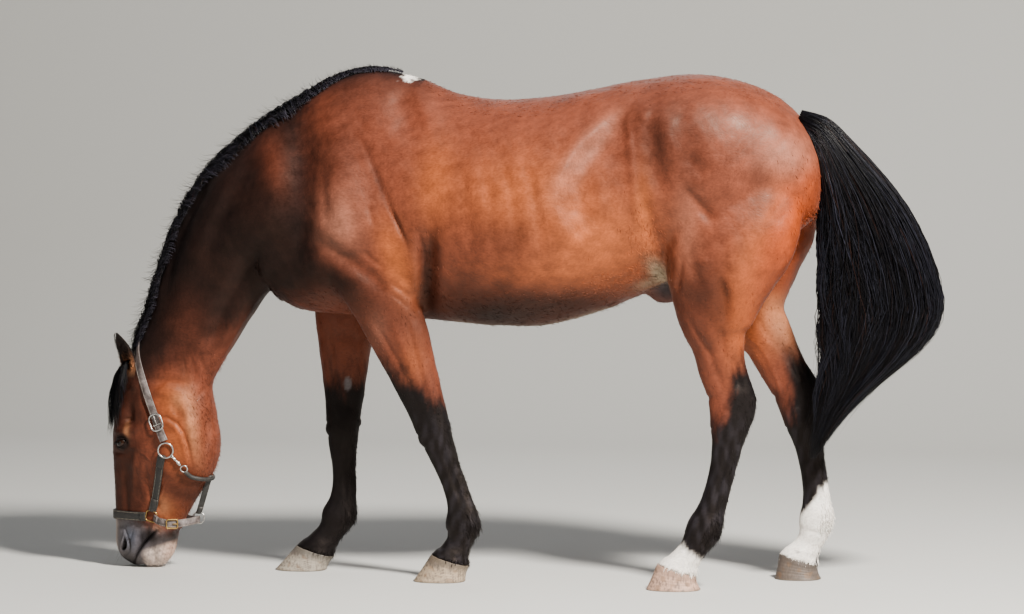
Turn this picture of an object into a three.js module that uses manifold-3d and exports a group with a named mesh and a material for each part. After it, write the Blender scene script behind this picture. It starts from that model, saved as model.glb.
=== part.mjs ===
// A life-size bay riding horse, grazing, in a leather halter.
// Millimetres, +Z up. The horse faces -X and its left side faces -Y.
// Everything is laid out from the floor point below the withers, then centred at the end.
import * as THREE from "three";
import { mergeVertices } from "three/addons/utils/BufferGeometryUtils.js";
import Module from "manifold-3d";

const wasm = await Module();
wasm.setup();
const vec = (x, y, z) => new THREE.Vector3(x, y, z);
const deg = Math.PI / 180;

// ---------------------------------------------------------------- driving dimensions
const GAP = 0.3; // between neighbouring solids
const NECK_BEND = { startX: -150, run: 350, angle: 10 * deg }; // to the horse's right
const TORSO_SIDES = 22;
const TRUNK_STEP = 104;
const HEAD_STEP = 41;
const MUZZLE_STEP = 27;
const MUZZLE_RIBS = 4;
const HEAD_RIBS = 13; // the last ribs, which make the head
const LEG_SIDES = 10;

// Each rib of the torso: the point on the top line, the point on the under line (x, z), half the
// width, how far down the widest level lies, and how full the section is above and below it.
const TORSO_RIBS = [
  // top x, top z, under x, under z, half width, widest at, full above, full below
  [1411, 1300, 1411, 1215, 78, 0.5, 2.0, 2.0], // point of the buttock
  [1394, 1368, 1394, 1160, 138, 0.5, 2.1, 2.0],
  [1340, 1466, 1340, 1105, 190, 0.45, 2.1, 2.0], // root of the tail
  [1250, 1538, 1250, 1050, 222, 0.42, 2.1, 2.0],
  [1130, 1582, 1130, 1000, 258, 0.38, 2.2, 2.0], // croup
  [990, 1598, 990, 955, 268, 0.34, 2.2, 2.0], // point of the hip
  [860, 1582, 860, 908, 272, 0.42, 2.2, 2.0], // flank
  [720, 1558, 720, 850, 295, 0.5, 2.2, 2.1],
  [560, 1527, 560, 806, 308, 0.54, 2.1, 2.2], // belly
  [400, 1515, 400, 798, 298, 0.54, 1.95, 2.2], // back
  [260, 1533, 260, 806, 268, 0.55, 1.75, 2.1], // girth
  [130, 1584, 130, 816, 245, 0.57, 1.55, 2.1],
  [0, 1606, -10, 824, 235, 0.58, 1.5, 2.1], // withers
  [-120, 1580, -135, 828, 222, 0.58, 1.55, 2.1],
  [-245, 1508, -240, 838, 192, 0.58, 1.6, 2.1], // shoulder
  [-395, 1412, -305, 866, 155, 0.57, 1.65, 2.1],
  [-560, 1270, -348, 898, 122, 0.56, 1.7, 2.2], // root of the neck
  [-668, 1105, -418, 812, 101, 0.55, 1.75, 2.2],
  [-728, 950, -482, 718, 89, 0.53, 1.8, 2.2], // middle of the neck
  [-768, 815, -532, 640, 84, 0.5, 1.9, 2.3], // throat
  [-808, 715, -554, 592, 90, 0.42, 2.2, 2.3], // poll
  [-852, 625, -552, 540, 99, 0.38, 2.4, 2.4],
  [-878, 530, -539, 474, 104, 0.36, 2.6, 2.5], // forehead
  [-889, 430, -531, 405, 106, 0.34, 2.7, 2.6], // eyes and jowl
  [-892, 345, -543, 342, 99, 0.38, 2.6, 2.7],
  [-893, 270, -572, 283, 84, 0.42, 2.4, 2.6], // facial crest
  [-893, 195, -616, 216, 70, 0.44, 2.3, 2.4],
  [-892, 125, -658, 140, 61, 0.44, 2.3, 2.3], // bars of the mouth
  [-890, 72, -681, 78, 60, 0.42, 2.3, 2.3], // nostrils
  [-876, 34, -694, 38, 54, 0.45, 2.2, 2.2], // lips
  [-834, 5, -722, 7, 34, 0.5, 2.1, 2.1],
];

// Soft rises and hollows of the muscles and bones, on both sides of the torso: centre (x, z), the
// reach along and across its own direction, that direction from level, and the height.
const RELIEF = [
  [905, 1455, 70, 45, -35, 14], // point of the hip
  [800, 1290, 60, 130, -8, -16], // hollow of the flank
  [1110, 1190, 130, 170, 20, 14], // thigh
  [1265, 1290, 50, 150, 12, -8], // groove behind the thigh
  [-150, 1180, 70, 190, 24, 10], // shoulder blade
  [15, 1290, 45, 190, 24, -13], // groove behind the shoulder
  [-470, 1160, 160, 55, 60, 8], // neck
  [-330, 1010, 170, 40, 58, -9], // jugular groove
  [-640, 470, 62, 74, 20, 8], // cheek
  [-600, 640, 30, 60, 30, -9], // hollow of the throat
  [-818, 540, 26, 30, 60, -8], // hollow of the temple
  [-828, 436, 30, 18, 0, 9], // brow
  [-800, 290, 26, 60, 8, -7], // hollow before the cheek
  [-845, 75, 26, 28, 0, 5], // nostril
];

// Joints of each leg from the body down (x, z and distance from the midline).
const FORE = {
  left: [[-60, 1130, 160], [70, 860, 148], [203, 468, 112], [288, 188, 105], [254, 66, 105]],
  right: [[-120, 1130, 160], [-130, 860, 146], [-138, 462, 108], [-150, 186, 98], [-226, 60, 95]],
};
const HIND = {
  left: [
    [1180, 1330, 148], [1105, 890, 156], [1112, 735, 150],
    [1142, 515, 142], [1066, 195, 165], [985, 60, 172],
  ],
  right: [
    [1170, 1330, 148], [1160, 905, 146], [1240, 735, 140],
    [1334, 512, 135], [1376, 195, 150], [1325, 60, 155],
  ],
};
// Stations down a leg: joint and fraction to the next one, flesh in front, behind and to each side.
const FORE_FLESH = [
  [0.0, 120, 150, 62],
  [0.45, 135, 150, 74],
  [0.8, 125, 118, 72], // elbow
  [1.0, 115, 100, 66],
  [1.24, 103, 92, 58], // forearm
  [1.5, 84, 78, 50],
  [1.78, 66, 66, 42],
  [1.92, 60, 60, 43], // knee
  [2.03, 58, 56, 44],
  [2.15, 50, 52, 38],
  [2.35, 40, 48, 30], // cannon
  [2.6, 36, 50, 27],
  [2.8, 42, 54, 30],
  [2.95, 54, 60, 36], // fetlock
  [3.1, 56, 60, 37],
  [3.35, 48, 46, 33], // pastern
  [3.6, 46, 46, 34],
  [3.85, 54, 56, 44],
  [4.0, 66, 64, 54], // coronet
];
const HIND_FLESH = [
  [0.0, 190, 185, 92],
  [0.3, 200, 218, 104], // thigh
  [0.55, 195, 212, 104],
  [0.78, 180, 172, 98], // stifle
  [1.0, 148, 140, 86],
  [1.3, 118, 114, 74], // gaskin
  [1.65, 96, 92, 62],
  [2.0, 84, 80, 50],
  [2.35, 76, 78, 40],
  [2.65, 68, 86, 37],
  [2.85, 66, 84, 40], // hock
  [3.05, 62, 66, 42],
  [3.2, 50, 56, 37],
  [3.4, 40, 50, 29], // cannon
  [3.65, 38, 50, 28],
  [3.83, 44, 54, 31],
  [3.96, 54, 60, 37], // fetlock
  [4.1, 56, 58, 38],
  [4.35, 48, 46, 34], // pastern
  [4.6, 46, 46, 35],
  [4.85, 56, 56, 44],
  [5.0, 68, 62, 54], // coronet
];
const CORONET_TILT = 16 * deg;
// Heights at which each leg is parted: under the body, at the knee or hock, above the fetlock.
const FORE_CUTS = [795, 545, 250];
const HIND_CUTS = [882, 655, 262];
// Where each hoof's toe and heel touch the floor, and half its width there.
const HOOVES = {
  fore_left: { toe: 134, heel: 300, half: 70 },
  fore_right: { toe: -358, heel: -192, half: 70 },
  hind_left: { toe: 886, heel: 1058, half: 68 },
  hind_right: { toe: 1246, heel: 1394, half: 66 },
};

// Planes that part head, neck and trunk: upper and under point (x, z).
const POLL_CUT = [[-787, 765], [-541, 615]];
const SHOULDER_CUT = [[-205, 1545], [-342, 880]];

const EYE = { x: -828, y: 88, z: 406, radius: 21 };
// Ears: root, tip, which way the cup opens.
const EARS = {
  left: { root: vec(-817, -50, 607), tip: vec(-848, -78, 760), opens: vec(-0.55, -0.83, 0) },
  right: { root: vec(-822, 50, 606), tip: vec(-846, 112, 744), opens: vec(-0.2, 0.95, 0.2) },
};
// Down the ear: fraction, half width, depth of the cup, how open it is.
const EAR_LEAF = [
  [0.0, 27, 27, 0],
  [0.2, 29, 26, 0.15],
  [0.35, 32, 23, 1],
  [0.55, 31, 18, 1],
  [0.75, 23, 13, 1],
  [0.9, 12, 8, 1],
  [1.0, 3, 4, 0.8],
];
const EAR_WALL = 5;

// Tail: inner point, outer point (x, z) and half the thickness, from the dock down.
const TAIL = [
  [1325, 1425, 1345, 1484, 36],
  [1374, 1385, 1428, 1458, 44],
  [1398, 1300, 1503, 1386, 52],
  [1396, 1200, 1600, 1282, 58],
  [1392, 1090, 1680, 1175, 61],
  [1390, 980, 1744, 1050, 62],
  [1388, 870, 1786, 912, 60],
  [1383, 780, 1774, 822, 57],
  [1388, 690, 1718, 742, 54],
  [1385, 600, 1636, 672, 48],
  [1380, 520, 1528, 580, 40],
  [1376, 450, 1450, 484, 28],
  [1374, 392, 1392, 398, 10],
];
// Mane: how far round the crest it lies (left side first) and how thick it is there.
const MANE = {
  across: [[24, 5], [8, 24], [-10, 27], [-32, 22], [-56, 17], [-78, 11]],
  ribs: [11.8, 19.75],
  step: 0.9,
  growth: 1.5, // how much thicker it is at the poll than at the withers
  spread: 0.4, // share of its full width at the withers
};
const FORELOCK = {
  across: [[38, 6], [16, 27], [-10, 30], [-34, 22], [-52, 6]],
  ribs: [20.75, 23.1],
  step: 0.47,
  growth: 1.1,
  spread: 0.25, // share of its full width at the top
};

const SHEATH = { at: vec(918, 0, 926), size: vec(66, 36, 54) };

// Halter. Points on the side of the head are given as x and z; lift is off the skin.
const STRAP = { width: 26, thick: 5, lift: 2.2, fold: 15, foldThick: 11 };
const RING = { at: [-671, 389], radius: 24, wire: 2.8, lift: 6 };
const NOSE_RING = { at: [-742, 170], width: 40, height: 38, bar: 4.5, thick: 4.5, lift: 6 };
const BUCKLE = { at: [-700, 477], width: 50, height: 60, bar: 6, thick: 4.5, lift: 10.5, round: 0.36 };
const CROWN = { centre: vec(-700, 0, 477), up: vec(-0.386, 0, 0.922), from: -31 };
const CHEEK = { top: [-683, 374], foot: [-739, 184] };
const NOSEBAND = { centre: vec(-790, 0, 168), from: -27, width: 29, thick: 8 };
const CHIN = {
  through: [[-729, 164], vec(-700, -80, 155), vec(-662, -66, 149), vec(-625, -38, 153)],
  middle: vec(-606, 0, 158),
  width: 24,
};
const CHIN_BUCKLE = { along: 0.2, width: 41, height: 33, bar: 4.5, thick: 4.5 };
const CHIN_RING = { at: vec(-603, 0, 164), radius: 19, wire: 2.2 };
const THROAT = { centre: vec(-690, 0, 330), back: vec(0.96, 0, -0.28), from: 35, radius: 7 };
const SNAP = { from: [-653, 372], to: [-626, 341], radius: 4, eye: 6 };
const SNAP_RING = { at: [-617, 331], radius: 11, wire: 2.2, lift: 6 };
const CONNECTOR = {
  foot: vec(-603, 0, 178),
  top: vec(-564, 0, 302),
  across: vec(0.8, 0.6, 0),
  width: 19,
  steps: [0, 0.1, 0.2, 0.82, 0.87, 1],
  halfThick: [5.5, 5.5, 2.5, 2.5, 10.5, 10.5],
};

// ---------------------------------------------------------------- materials
function paint(color, roughness, metalness = 0) {
  return new THREE.MeshStandardMaterial({ color, roughness, metalness });
}
const COLOURS = {
  bay: () => paint(0x6b2f1a, 0.5),
  black: () => paint(0x1b1513, 0.55),
  white: () => paint(0xd9d0c5, 0.7),
  horn: () => paint(0x9c8a76, 0.45),
  darkHorn: () => paint(0x4b423b, 0.45),
  hair: () => paint(0x14100e, 0.45),
  eye: () => paint(0x120a07, 0.08),
  skin: () => paint(0x2b2422, 0.6),
  leather: () => paint(0x2c231e, 0.55),
  wornLeather: () => paint(0x756a60, 0.7),
  steel: () => paint(0xb9b9b4, 0.28, 1),
  brass: () => paint(0xb2924c, 0.3, 1),
};

// ---------------------------------------------------------------- curves and lofts
// A smooth curve through rows of numbers, at rising values of `at`.
function smoothRows(rows, at) {
  const slope = rows.map((row, i) => {
    const a = Math.max(0, i - 1);
    const b = Math.min(rows.length - 1, i + 1);
    return row.map((_, k) => (rows[b][k] - rows[a][k]) / (at[b] - at[a]));
  });
  return (t) => {
    let i = 0;
    while (i < at.length - 2 && t > at[i + 1]) i++;
    const h = at[i + 1] - at[i];
    const s = Math.min(1, Math.max(0, (t - at[i]) / h));
    const h1 = s * s * (3 - 2 * s);
    const h2 = s * (1 - s) * (1 - s) * h;
    const h3 = s * s * (s - 1) * h;
    return rows[i].map(
      (v, k) => v * (1 - h1) + rows[i + 1][k] * h1 + slope[i][k] * h2 + slope[i + 1][k] * h3,
    );
  };
}

const signedPower = (v, p) => Math.sign(v) * Math.pow(Math.abs(v), p);

// A point of a section, as shares across and down, at an angle from the top.
function sectionPoint(angle, widest, above, below) {
  const c = Math.cos(angle);
  const full = c >= 0 ? above : below;
  const depth = c >= 0 ? widest : 1 - widest;
  return [signedPower(Math.sin(angle), 2 / full), widest - depth * signedPower(c, 2 / full)];
}

function section(sides, widest, above, below) {
  return Array.from({ length: sides }, (_, j) =>
    sectionPoint((2 * Math.PI * j) / sides, widest, above, below),
  );
}

// A closed solid lofted through rings of points, with a fan over each end.
function loft(rings) {
  const sides = rings[0].length;
  const points = rings.flat();
  const faces = [];
  for (let i = 0; i + 1 < rings.length; i++) {
    for (let j = 0; j < sides; j++) {
      const a = i * sides + j;
      const b = i * sides + ((j + 1) % sides);
      faces.push([a, a + sides, b], [b, a + sides, b + sides]);
    }
  }
  for (const ring of [rings[0], rings.at(-1)]) {
    const first = ring === rings[0] ? 0 : points.length - 1 - sides;
    const middle = ring.reduce((sum, p) => sum.add(p), vec(0, 0, 0)).divideScalar(sides);
    points.push(middle);
    for (let j = 0; j < sides; j++) {
      const [a, b] = [first + j, first + ((j + 1) % sides)];
      faces.push(first ? [b, a, points.length - 1] : [a, b, points.length - 1]);
    }
  }
  const volume = faces.reduce(
    (sum, [a, b, c]) => sum + points[a].dot(points[b].clone().cross(points[c])),
    0,
  );
  if (volume < 0) faces.forEach((face) => face.reverse());
  return fromTriangles(
    new Float32Array(points.flatMap((p) => p.toArray())),
    new Uint32Array(faces.flat()),
  );
}

function fromTriangles(vertProperties, triVerts) {
  return new wasm.Manifold(new wasm.Mesh({ numProp: 3, vertProperties, triVerts }));
}

function fromGeometry(geometry) {
  const bare = new THREE.BufferGeometry();
  bare.setAttribute("position", geometry.getAttribute("position"));
  bare.setIndex(geometry.index);
  const merged = mergeVertices(bare, 1e-3);
  return fromTriangles(merged.attributes.position.array, new Uint32Array(merged.index.array));
}

// Keeps what lies on the side of a plane that the normal points to, half a gap away from it.
function keep(solid, normal, through) {
  const n = normal.clone().normalize();
  return solid.trimByPlane(n.toArray(), n.dot(through) + GAP / 2);
}

// ---------------------------------------------------------------- torso
// Bends the neck and head to the horse's right, about an upright axis.
function bend(p) {
  const { startX, run, angle } = NECK_BEND;
  const d = startX - p.x;
  if (d <= 0) return p;
  const curved = Math.min(d, run);
  const straight = d - curved;
  const turn = (angle * curved) / run;
  const radius = run / angle;
  const x = startX - radius * Math.sin(turn) - straight * Math.cos(angle) + p.y * Math.sin(turn);
  const y = radius * (1 - Math.cos(turn)) + straight * Math.sin(angle) + p.y * Math.cos(turn);
  return vec(x, y, p.z);
}
// The head lies wholly past the bend, so for everything on it the bend is this one turn.
const BEND_END = vec(NECK_BEND.startX - NECK_BEND.run, 0, 0);
const headTurn = new THREE.Matrix4().makeRotationZ(-NECK_BEND.angle);
const headPlace = new THREE.Matrix4()
  .makeTranslation(bend(BEND_END))
  .multiply(headTurn)
  .multiply(new THREE.Matrix4().makeTranslation(BEND_END.clone().negate()));

function relief(x, z) {
  return RELIEF.reduce((sum, [cx, cz, along, across, tilt, height]) => {
    const [c, s] = [Math.cos(tilt * deg), Math.sin(tilt * deg)];
    const u = ((x - cx) * c + (z - cz) * s) / along;
    const v = ((z - cz) * c - (x - cx) * s) / across;
    return sum + height * Math.exp(-(u * u + v * v) / 2);
  }, 0);
}

const ribPlaces = [0];
for (let i = 1; i < TORSO_RIBS.length; i++) {
  const [a, b] = [TORSO_RIBS[i - 1], TORSO_RIBS[i]];
  const step = Math.hypot(a[0] + a[2] - b[0] - b[2], a[1] + a[3] - b[1] - b[3]) / 2;
  ribPlaces.push(ribPlaces[i - 1] + step);
}
const ribAt = smoothRows(TORSO_RIBS, ribPlaces);
// The place of a rib counted from the buttock, in millimetres along the torso.
function ribPlace(n) {
  const i = Math.min(TORSO_RIBS.length - 2, Math.floor(n));
  return THREE.MathUtils.lerp(ribPlaces[i], ribPlaces[i + 1], n - i);
}

// A point on the torso, or `out` millimetres off it, before the neck is bent.
function torsoPoint(rib, angle, out) {
  const [tx, tz, ux, uz, half, widest, above, below] = rib;
  const depth = Math.hypot(ux - tx, uz - tz);
  const [across, down] = sectionPoint(angle, widest, above, below);
  const v = (down * (depth + 2 * out) - out) / depth;
  const [x, z] = [tx + (ux - tx) * v, tz + (uz - tz) * v];
  return vec(x, -across * (half + out + relief(x, z)), z);
}

function torsoRings(out, shape) {
  const headFrom = ribPlaces.at(-HEAD_RIBS);
  const muzzleFrom = ribPlaces.at(-MUZZLE_RIBS);
  const end = ribPlaces.at(-1);
  const places = [0];
  while (places.at(-1) < end) {
    const t = places.at(-1);
    const step = t < headFrom ? TRUNK_STEP : t < muzzleFrom ? HEAD_STEP : MUZZLE_STEP;
    places.push(Math.min(end, t + step));
  }
  return places.map((t) => {
    const rib = ribAt(t);
    const push = t === 0 ? vec(out, 0, 0) : vec(0, 0, t === end ? -out : 0);
    return Array.from({ length: TORSO_SIDES }, (_, j) =>
      shape(torsoPoint(rib, (2 * Math.PI * j) / TORSO_SIDES, out).add(push)),
    );
  });
}

// ---------------------------------------------------------------- legs
function legRings(joints, flesh, side, out) {
  const spineAt = smoothRows(joints, joints.map((_, i) => i));
  const fleshAt = smoothRows(flesh, flesh.map((row) => row[0]));
  const last = joints.length - 1;
  const coronet = new THREE.Vector2(-Math.sin(CORONET_TILT), -Math.cos(CORONET_TILT));
  return flesh.map(([t]) => {
    const [x, z, y] = spineAt(t);
    const [ahead, behind] = [spineAt(Math.min(t + 0.08, last)), spineAt(Math.max(t - 0.08, 0))];
    const along = new THREE.Vector2(ahead[0] - behind[0], ahead[1] - behind[1]).normalize();
    along.lerp(coronet, THREE.MathUtils.smoothstep(t, last - 0.5, last)).normalize();
    const [, front, back, half] = fleshAt(t);
    return section(LEG_SIDES, 0.5, 2.15, 2.15).map(([across, down]) => {
      const reach = (down < 0.5 ? front + out : back + out) * (1 - 2 * down);
      return vec(
        x + along.y * reach,
        side * (y + across * (half + out)),
        z - along.x * reach,
      );
    });
  });
}

// The hoof widens from the coronet, a gap below the pastern's last ring, to a flat sole.
function hoof(coronetRing, y, { toe, heel, half }) {
  const top = coronetRing.map((p) => p.clone().add(vec(0, 0, -GAP * 1.5)));
  const middle = (toe + heel) / 2;
  const sole = section(LEG_SIDES, 0.5, 2.3, 2.3).map(([across, down]) =>
    vec(middle - (heel - toe) * (0.5 - down), y + Math.sign(y) * across * half, 0),
  );
  return loft([top, sole]);
}

// ---------------------------------------------------------------- model
const model = new THREE.Group();
function toGeometry(solid) {
  const { vertProperties, triVerts } = solid.getMesh();
  const geometry = new THREE.BufferGeometry();
  geometry.setAttribute("position", new THREE.BufferAttribute(new Float32Array(vertProperties), 3));
  return geometry.setIndex(new THREE.BufferAttribute(new Uint32Array(triVerts), 1));
}
function add(name, solid, material, place = null) {
  const geometry = toGeometry(solid);
  if (place) geometry.applyMatrix4(place);
  const mesh = new THREE.Mesh(geometry, material);
  mesh.name = name;
  model.add(mesh);
}

const straight = (p) => p;
const straightTorso = loft(torsoRings(0, straight));
const headClearance = loft(torsoRings(GAP, straight));
const bentTorso = loft(torsoRings(0, bend));
let bodyClearance = loft(torsoRings(GAP, bend));

// legs
let trunk = bentTorso;
const UP = vec(0, 0, 1);
const DOWN = vec(0, 0, -1);
for (const [end, sides, flesh, cuts, names] of [
  ["fore", FORE, FORE_FLESH, FORE_CUTS, ["forearm", "cannon", "pastern"]],
  ["hind", HIND, HIND_FLESH, HIND_CUTS, ["gaskin", "cannon", "pastern"]],
]) {
  for (const side of ["left", "right"]) {
    const sign = side === "left" ? -1 : 1;
    const rings = legRings(sides[side], flesh, sign, 0);
    const leg = loft(rings);
    const levels = cuts.map((z) => vec(0, 0, z));
    trunk = trunk.add(keep(leg, UP, levels[0]));
    bodyClearance = bodyClearance.add(loft(legRings(sides[side], flesh, sign, GAP)));
    names.forEach((name, i) => {
      let piece = keep(leg, DOWN, levels[i]);
      if (i < 2) piece = keep(piece, UP, levels[i + 1]);
      const white = end === "hind" && name === "pastern";
      const dark = name === "cannon" || name === "pastern";
      const colour = white ? COLOURS.white() : dark ? COLOURS.black() : COLOURS.bay();
      add(`${end}_${side}_${name}`, piece, colour);
    });
    const horn = end === "hind" && side === "right" ? COLOURS.darkHorn() : COLOURS.horn();
    const y = sign * sides[side].at(-1)[2];
    add(`${end}_${side}_hoof`, hoof(rings.at(-1), y, HOOVES[`${end}_${side}`]), horn);
  }
}

// trunk, neck and head
function cutPlane([[topX, topZ], [underX, underZ]], turn = null) {
  const toHead = vec(underZ - topZ, 0, topX - underX);
  const through = vec(topX, 0, topZ);
  if (turn) {
    toHead.applyMatrix4(headTurn);
    through.applyMatrix4(headPlace);
  }
  return { toHead, toTail: toHead.clone().negate(), through };
}
const shoulder = cutPlane(SHOULDER_CUT);
const poll = cutPlane(POLL_CUT);
const pollTurned = cutPlane(POLL_CUT, headTurn);
add("trunk", keep(trunk, shoulder.toTail, shoulder.through), COLOURS.bay());
const neck = keep(
  keep(bentTorso, shoulder.toHead, shoulder.through),
  pollTurned.toTail,
  pollTurned.through,
);
add("neck", neck, COLOURS.bay());

// eyes in their sockets
function ball(radius, at) {
  const g = new THREE.SphereGeometry(radius, 10, 7);
  return fromGeometry(g.rotateX(Math.PI / 2).translate(at.x, at.y, at.z));
}
let head = keep(straightTorso, poll.toHead, poll.through);
for (const [side, sign] of [["left", -1], ["right", 1]]) {
  const at = vec(EYE.x, sign * EYE.y, EYE.z);
  head = head.subtract(ball(EYE.radius + GAP, at));
  add(`eye_${side}`, ball(EYE.radius, at), COLOURS.eye(), headPlace);
}
add("head", head, COLOURS.bay(), headPlace);

// ears
function ear({ root, tip, opens }) {
  const axis = tip.clone().sub(root);
  const across = opens.clone().cross(axis).normalize();
  const out = axis.clone().cross(across).normalize();
  return loft(
    EAR_LEAF.map(([t, wide, deep, open]) => {
      const middle = root.clone().addScaledVector(axis, t);
      const place = (u, v) =>
        middle.clone().addScaledVector(across, u).addScaledVector(out, v);
      const back = [-100, -52, 0, 52, 100].map((a) =>
        place(wide * Math.sin(a * deg), -deep * Math.cos(a * deg)),
      );
      const cup = [64, 0, -64].map((a) =>
        place(
          (wide - EAR_WALL * 0.8) * Math.sin(a * deg) * 0.94,
          THREE.MathUtils.lerp(deep * 0.6, -(deep - EAR_WALL), open) * Math.cos(a * deg),
        ),
      );
      return [...back, ...cup];
    }),
  );
}
for (const side of ["left", "right"]) {
  add(`ear_${side}`, ear(EARS[side]).subtract(headClearance), COLOURS.bay(), headPlace);
}

// ---------------------------------------------------------------- hair
// A layer of hair over part of the torso's sections, closed by a point deep inside.
function hairOver({ across, ribs: [from, to], step, spread, growth }, shape) {
  const rings = [];
  for (let n = from; n < to + step / 2; n += step) {
    const rib = ribAt(ribPlace(Math.min(n, to)));
    const share = Math.min(1, (n - from) / (to - from));
    const wide = THREE.MathUtils.lerp(spread, 1, share);
    const ends = Math.min(1, 0.25 + Math.min(n - from, Math.max(0, to - n)) * 0.9);
    const deep = ends * THREE.MathUtils.lerp(1, growth, share);
    const ring = across.map(([a, thick]) => shape(torsoPoint(rib, a * wide * deg, thick * deep)));
    const middle = torsoPoint(rib, 0, 0).lerp(torsoPoint(rib, Math.PI, 0), 0.35);
    rings.push([...ring, shape(middle)]);
  }
  return loft(rings);
}
const mane = hairOver(MANE, bend).subtract(bodyClearance);
add("mane", mane, COLOURS.hair());
const forelock = hairOver(FORELOCK, straight).subtract(headClearance);
add("forelock", forelock, COLOURS.hair(), headPlace);

const tailRings = TAIL.map(([ix, iz, ox, oz, half]) =>
  section(12, 0.5, 2.1, 2.1).map(([across, down]) =>
    vec(THREE.MathUtils.lerp(ox, ix, down), -across * half, THREE.MathUtils.lerp(oz, iz, down)),
  ),
);
add("tail", loft(tailRings).subtract(bodyClearance), COLOURS.hair());

const sheath = new THREE.SphereGeometry(1, 10, 7)
  .scale(...SHEATH.size.toArray())
  .translate(...SHEATH.at.toArray());
add("sheath", fromGeometry(sheath).subtract(bodyClearance), COLOURS.skin());

// ---------------------------------------------------------------- halter
const headMesh = new THREE.Mesh(toGeometry(straightTorso));
// Where a line from outside meets the head, and which way its surface faces there.
function touch(from, to) {
  const ray = new THREE.Raycaster(from, to.clone().sub(from).normalize());
  const [hit] = ray.intersectObject(headMesh);
  return { point: hit.point, normal: hit.face.normal.clone() };
}
const onCheek = ([x, z], side) => touch(vec(x, side * 400, z), vec(x, 0, z));
// Points round the head in the plane of two directions, by angle from the first.
function wrap(centre, first, second, from, to, count) {
  return Array.from({ length: count }, (_, i) => {
    const a = THREE.MathUtils.lerp(from, to, i / (count - 1)) * deg;
    const way = first.clone().multiplyScalar(Math.cos(a)).addScaledVector(second, Math.sin(a));
    return touch(centre.clone().addScaledVector(way, 500), centre);
  });
}
// Sweeps an outline, given as distances across and outwards, along a path of points and normals.
function sweep(path, outlineAt) {
  return loft(
    path.map(({ point, normal, across }, i) => {
      const ahead = path[Math.min(i + 1, path.length - 1)].point;
      const along = ahead.clone().sub(path[Math.max(i - 1, 0)].point);
      const wide = (across ?? along.clone().cross(normal)).clone().normalize();
      const out = wide.clone().cross(along).normalize();
      if (out.dot(normal) < 0) out.negate();
      return outlineAt(i).map(([a, o]) =>
        point.clone().addScaledVector(wide, a).addScaledVector(out, o),
      );
    }),
  );
}
// A flat strap, folded thick over the rings at its ends.
function strap(path, width, thick, lift = STRAP.lift) {
  const foldEnd = (a, b) => {
    const t = STRAP.fold / a.point.distanceTo(b.point);
    return { ...a, point: a.point.clone().lerp(b.point, t) };
  };
  const last = path.length - 1;
  const folded = [
    path[0],
    foldEnd(path[0], path[1]),
    ...path.slice(1, last),
    foldEnd(path[last], path[last - 1]),
    path[last],
  ];
  return sweep(folded, (i) => {
    const thickHere = i < 2 || i > last ? STRAP.foldThick : thick;
    const low = i < 2 || i > last ? 0.4 : lift;
    const [w, high] = [width / 2, low + thickHere];
    return [[-w, low], [w, low], [w, high], [-w, high]];
  });
}
function rod(path, radiusAt, lift) {
  return sweep(path, (i) =>
    Array.from({ length: 6 }, (_, j) => {
      const a = (2 * Math.PI * j) / 6;
      return [radiusAt(i) * Math.cos(a), lift + radiusAt(i) * Math.sin(a)];
    }),
  );
}
function roundedLoop(loop, w, h, radius) {
  const [x, y, r] = [w / 2, h / 2, Math.max(1, radius)];
  loop.moveTo(x, y - r).absarc(x - r, y - r, r, 0, Math.PI / 2, false);
  loop.absarc(-x + r, y - r, r, Math.PI / 2, Math.PI, false);
  loop.absarc(-x + r, -y + r, r, Math.PI, 1.5 * Math.PI, false);
  return loop.absarc(x - r, -y + r, r, 1.5 * Math.PI, 2 * Math.PI, false);
}
// A frame with rounded corners, lying on a surface with its height along `up`.
function frame({ width, height, bar, thick, round = 0.3 }, { point, normal }, up, lift, grow = 0) {
  const corner = Math.min(width, height) * round;
  const shape = roundedLoop(new THREE.Shape(), width + 2 * grow, height + 2 * grow, corner);
  const inside = 2 * (bar + grow);
  shape.holes.push(
    roundedLoop(new THREE.Path(), width - inside, height - inside, corner - bar),
  );
  const depth = thick + 2 * grow;
  const g = new THREE.ExtrudeGeometry(shape, { depth, bevelEnabled: false, curveSegments: 1 });
  g.translate(0, 0, lift - depth / 2);
  const x = up.clone().cross(normal).normalize();
  const basis = new THREE.Matrix4().makeBasis(x, normal.clone().cross(x), normal);
  return fromGeometry(g.applyMatrix4(basis.setPosition(point)));
}
function ring({ radius, wire, lift = 0 }, { point, normal }, grow = 0) {
  const g = new THREE.TorusGeometry(radius, wire + grow, 4, 14).translate(0, 0, lift);
  const turn = new THREE.Quaternion().setFromUnitVectors(UP, normal);
  return fromGeometry(g.applyQuaternion(turn).translate(point.x, point.y, point.z));
}

const LEFT = vec(0, -1, 0);
const FRONT = vec(-1, 0, 0);
const addTack = (name, solid, material) => add(`halter_${name}`, solid, material, headPlace);
let metalClearance = headClearance;
for (const [side, sign] of [["left", -1], ["right", 1]]) {
  const big = onCheek(RING.at, sign);
  const nose = onCheek(NOSE_RING.at, sign);
  const strapUp = vec(CHEEK.top[0] - CHEEK.foot[0], 0, CHEEK.top[1] - CHEEK.foot[1]);
  addTack(`ring_${side}`, ring(RING, big), COLOURS.steel());
  addTack(`nose_ring_${side}`, frame(NOSE_RING, nose, strapUp, NOSE_RING.lift), COLOURS.brass());
  const place = onCheek(BUCKLE.at, sign);
  addTack(`buckle_${side}`, frame(BUCKLE, place, CROWN.up, BUCKLE.lift), COLOURS.steel());
  metalClearance = metalClearance
    .add(ring(RING, big, GAP))
    .add(frame(NOSE_RING, nose, strapUp, NOSE_RING.lift, GAP))
    .add(frame(BUCKLE, place, CROWN.up, BUCKLE.lift, GAP));
}
const snapRing = onCheek(SNAP_RING.at, -1);
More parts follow.
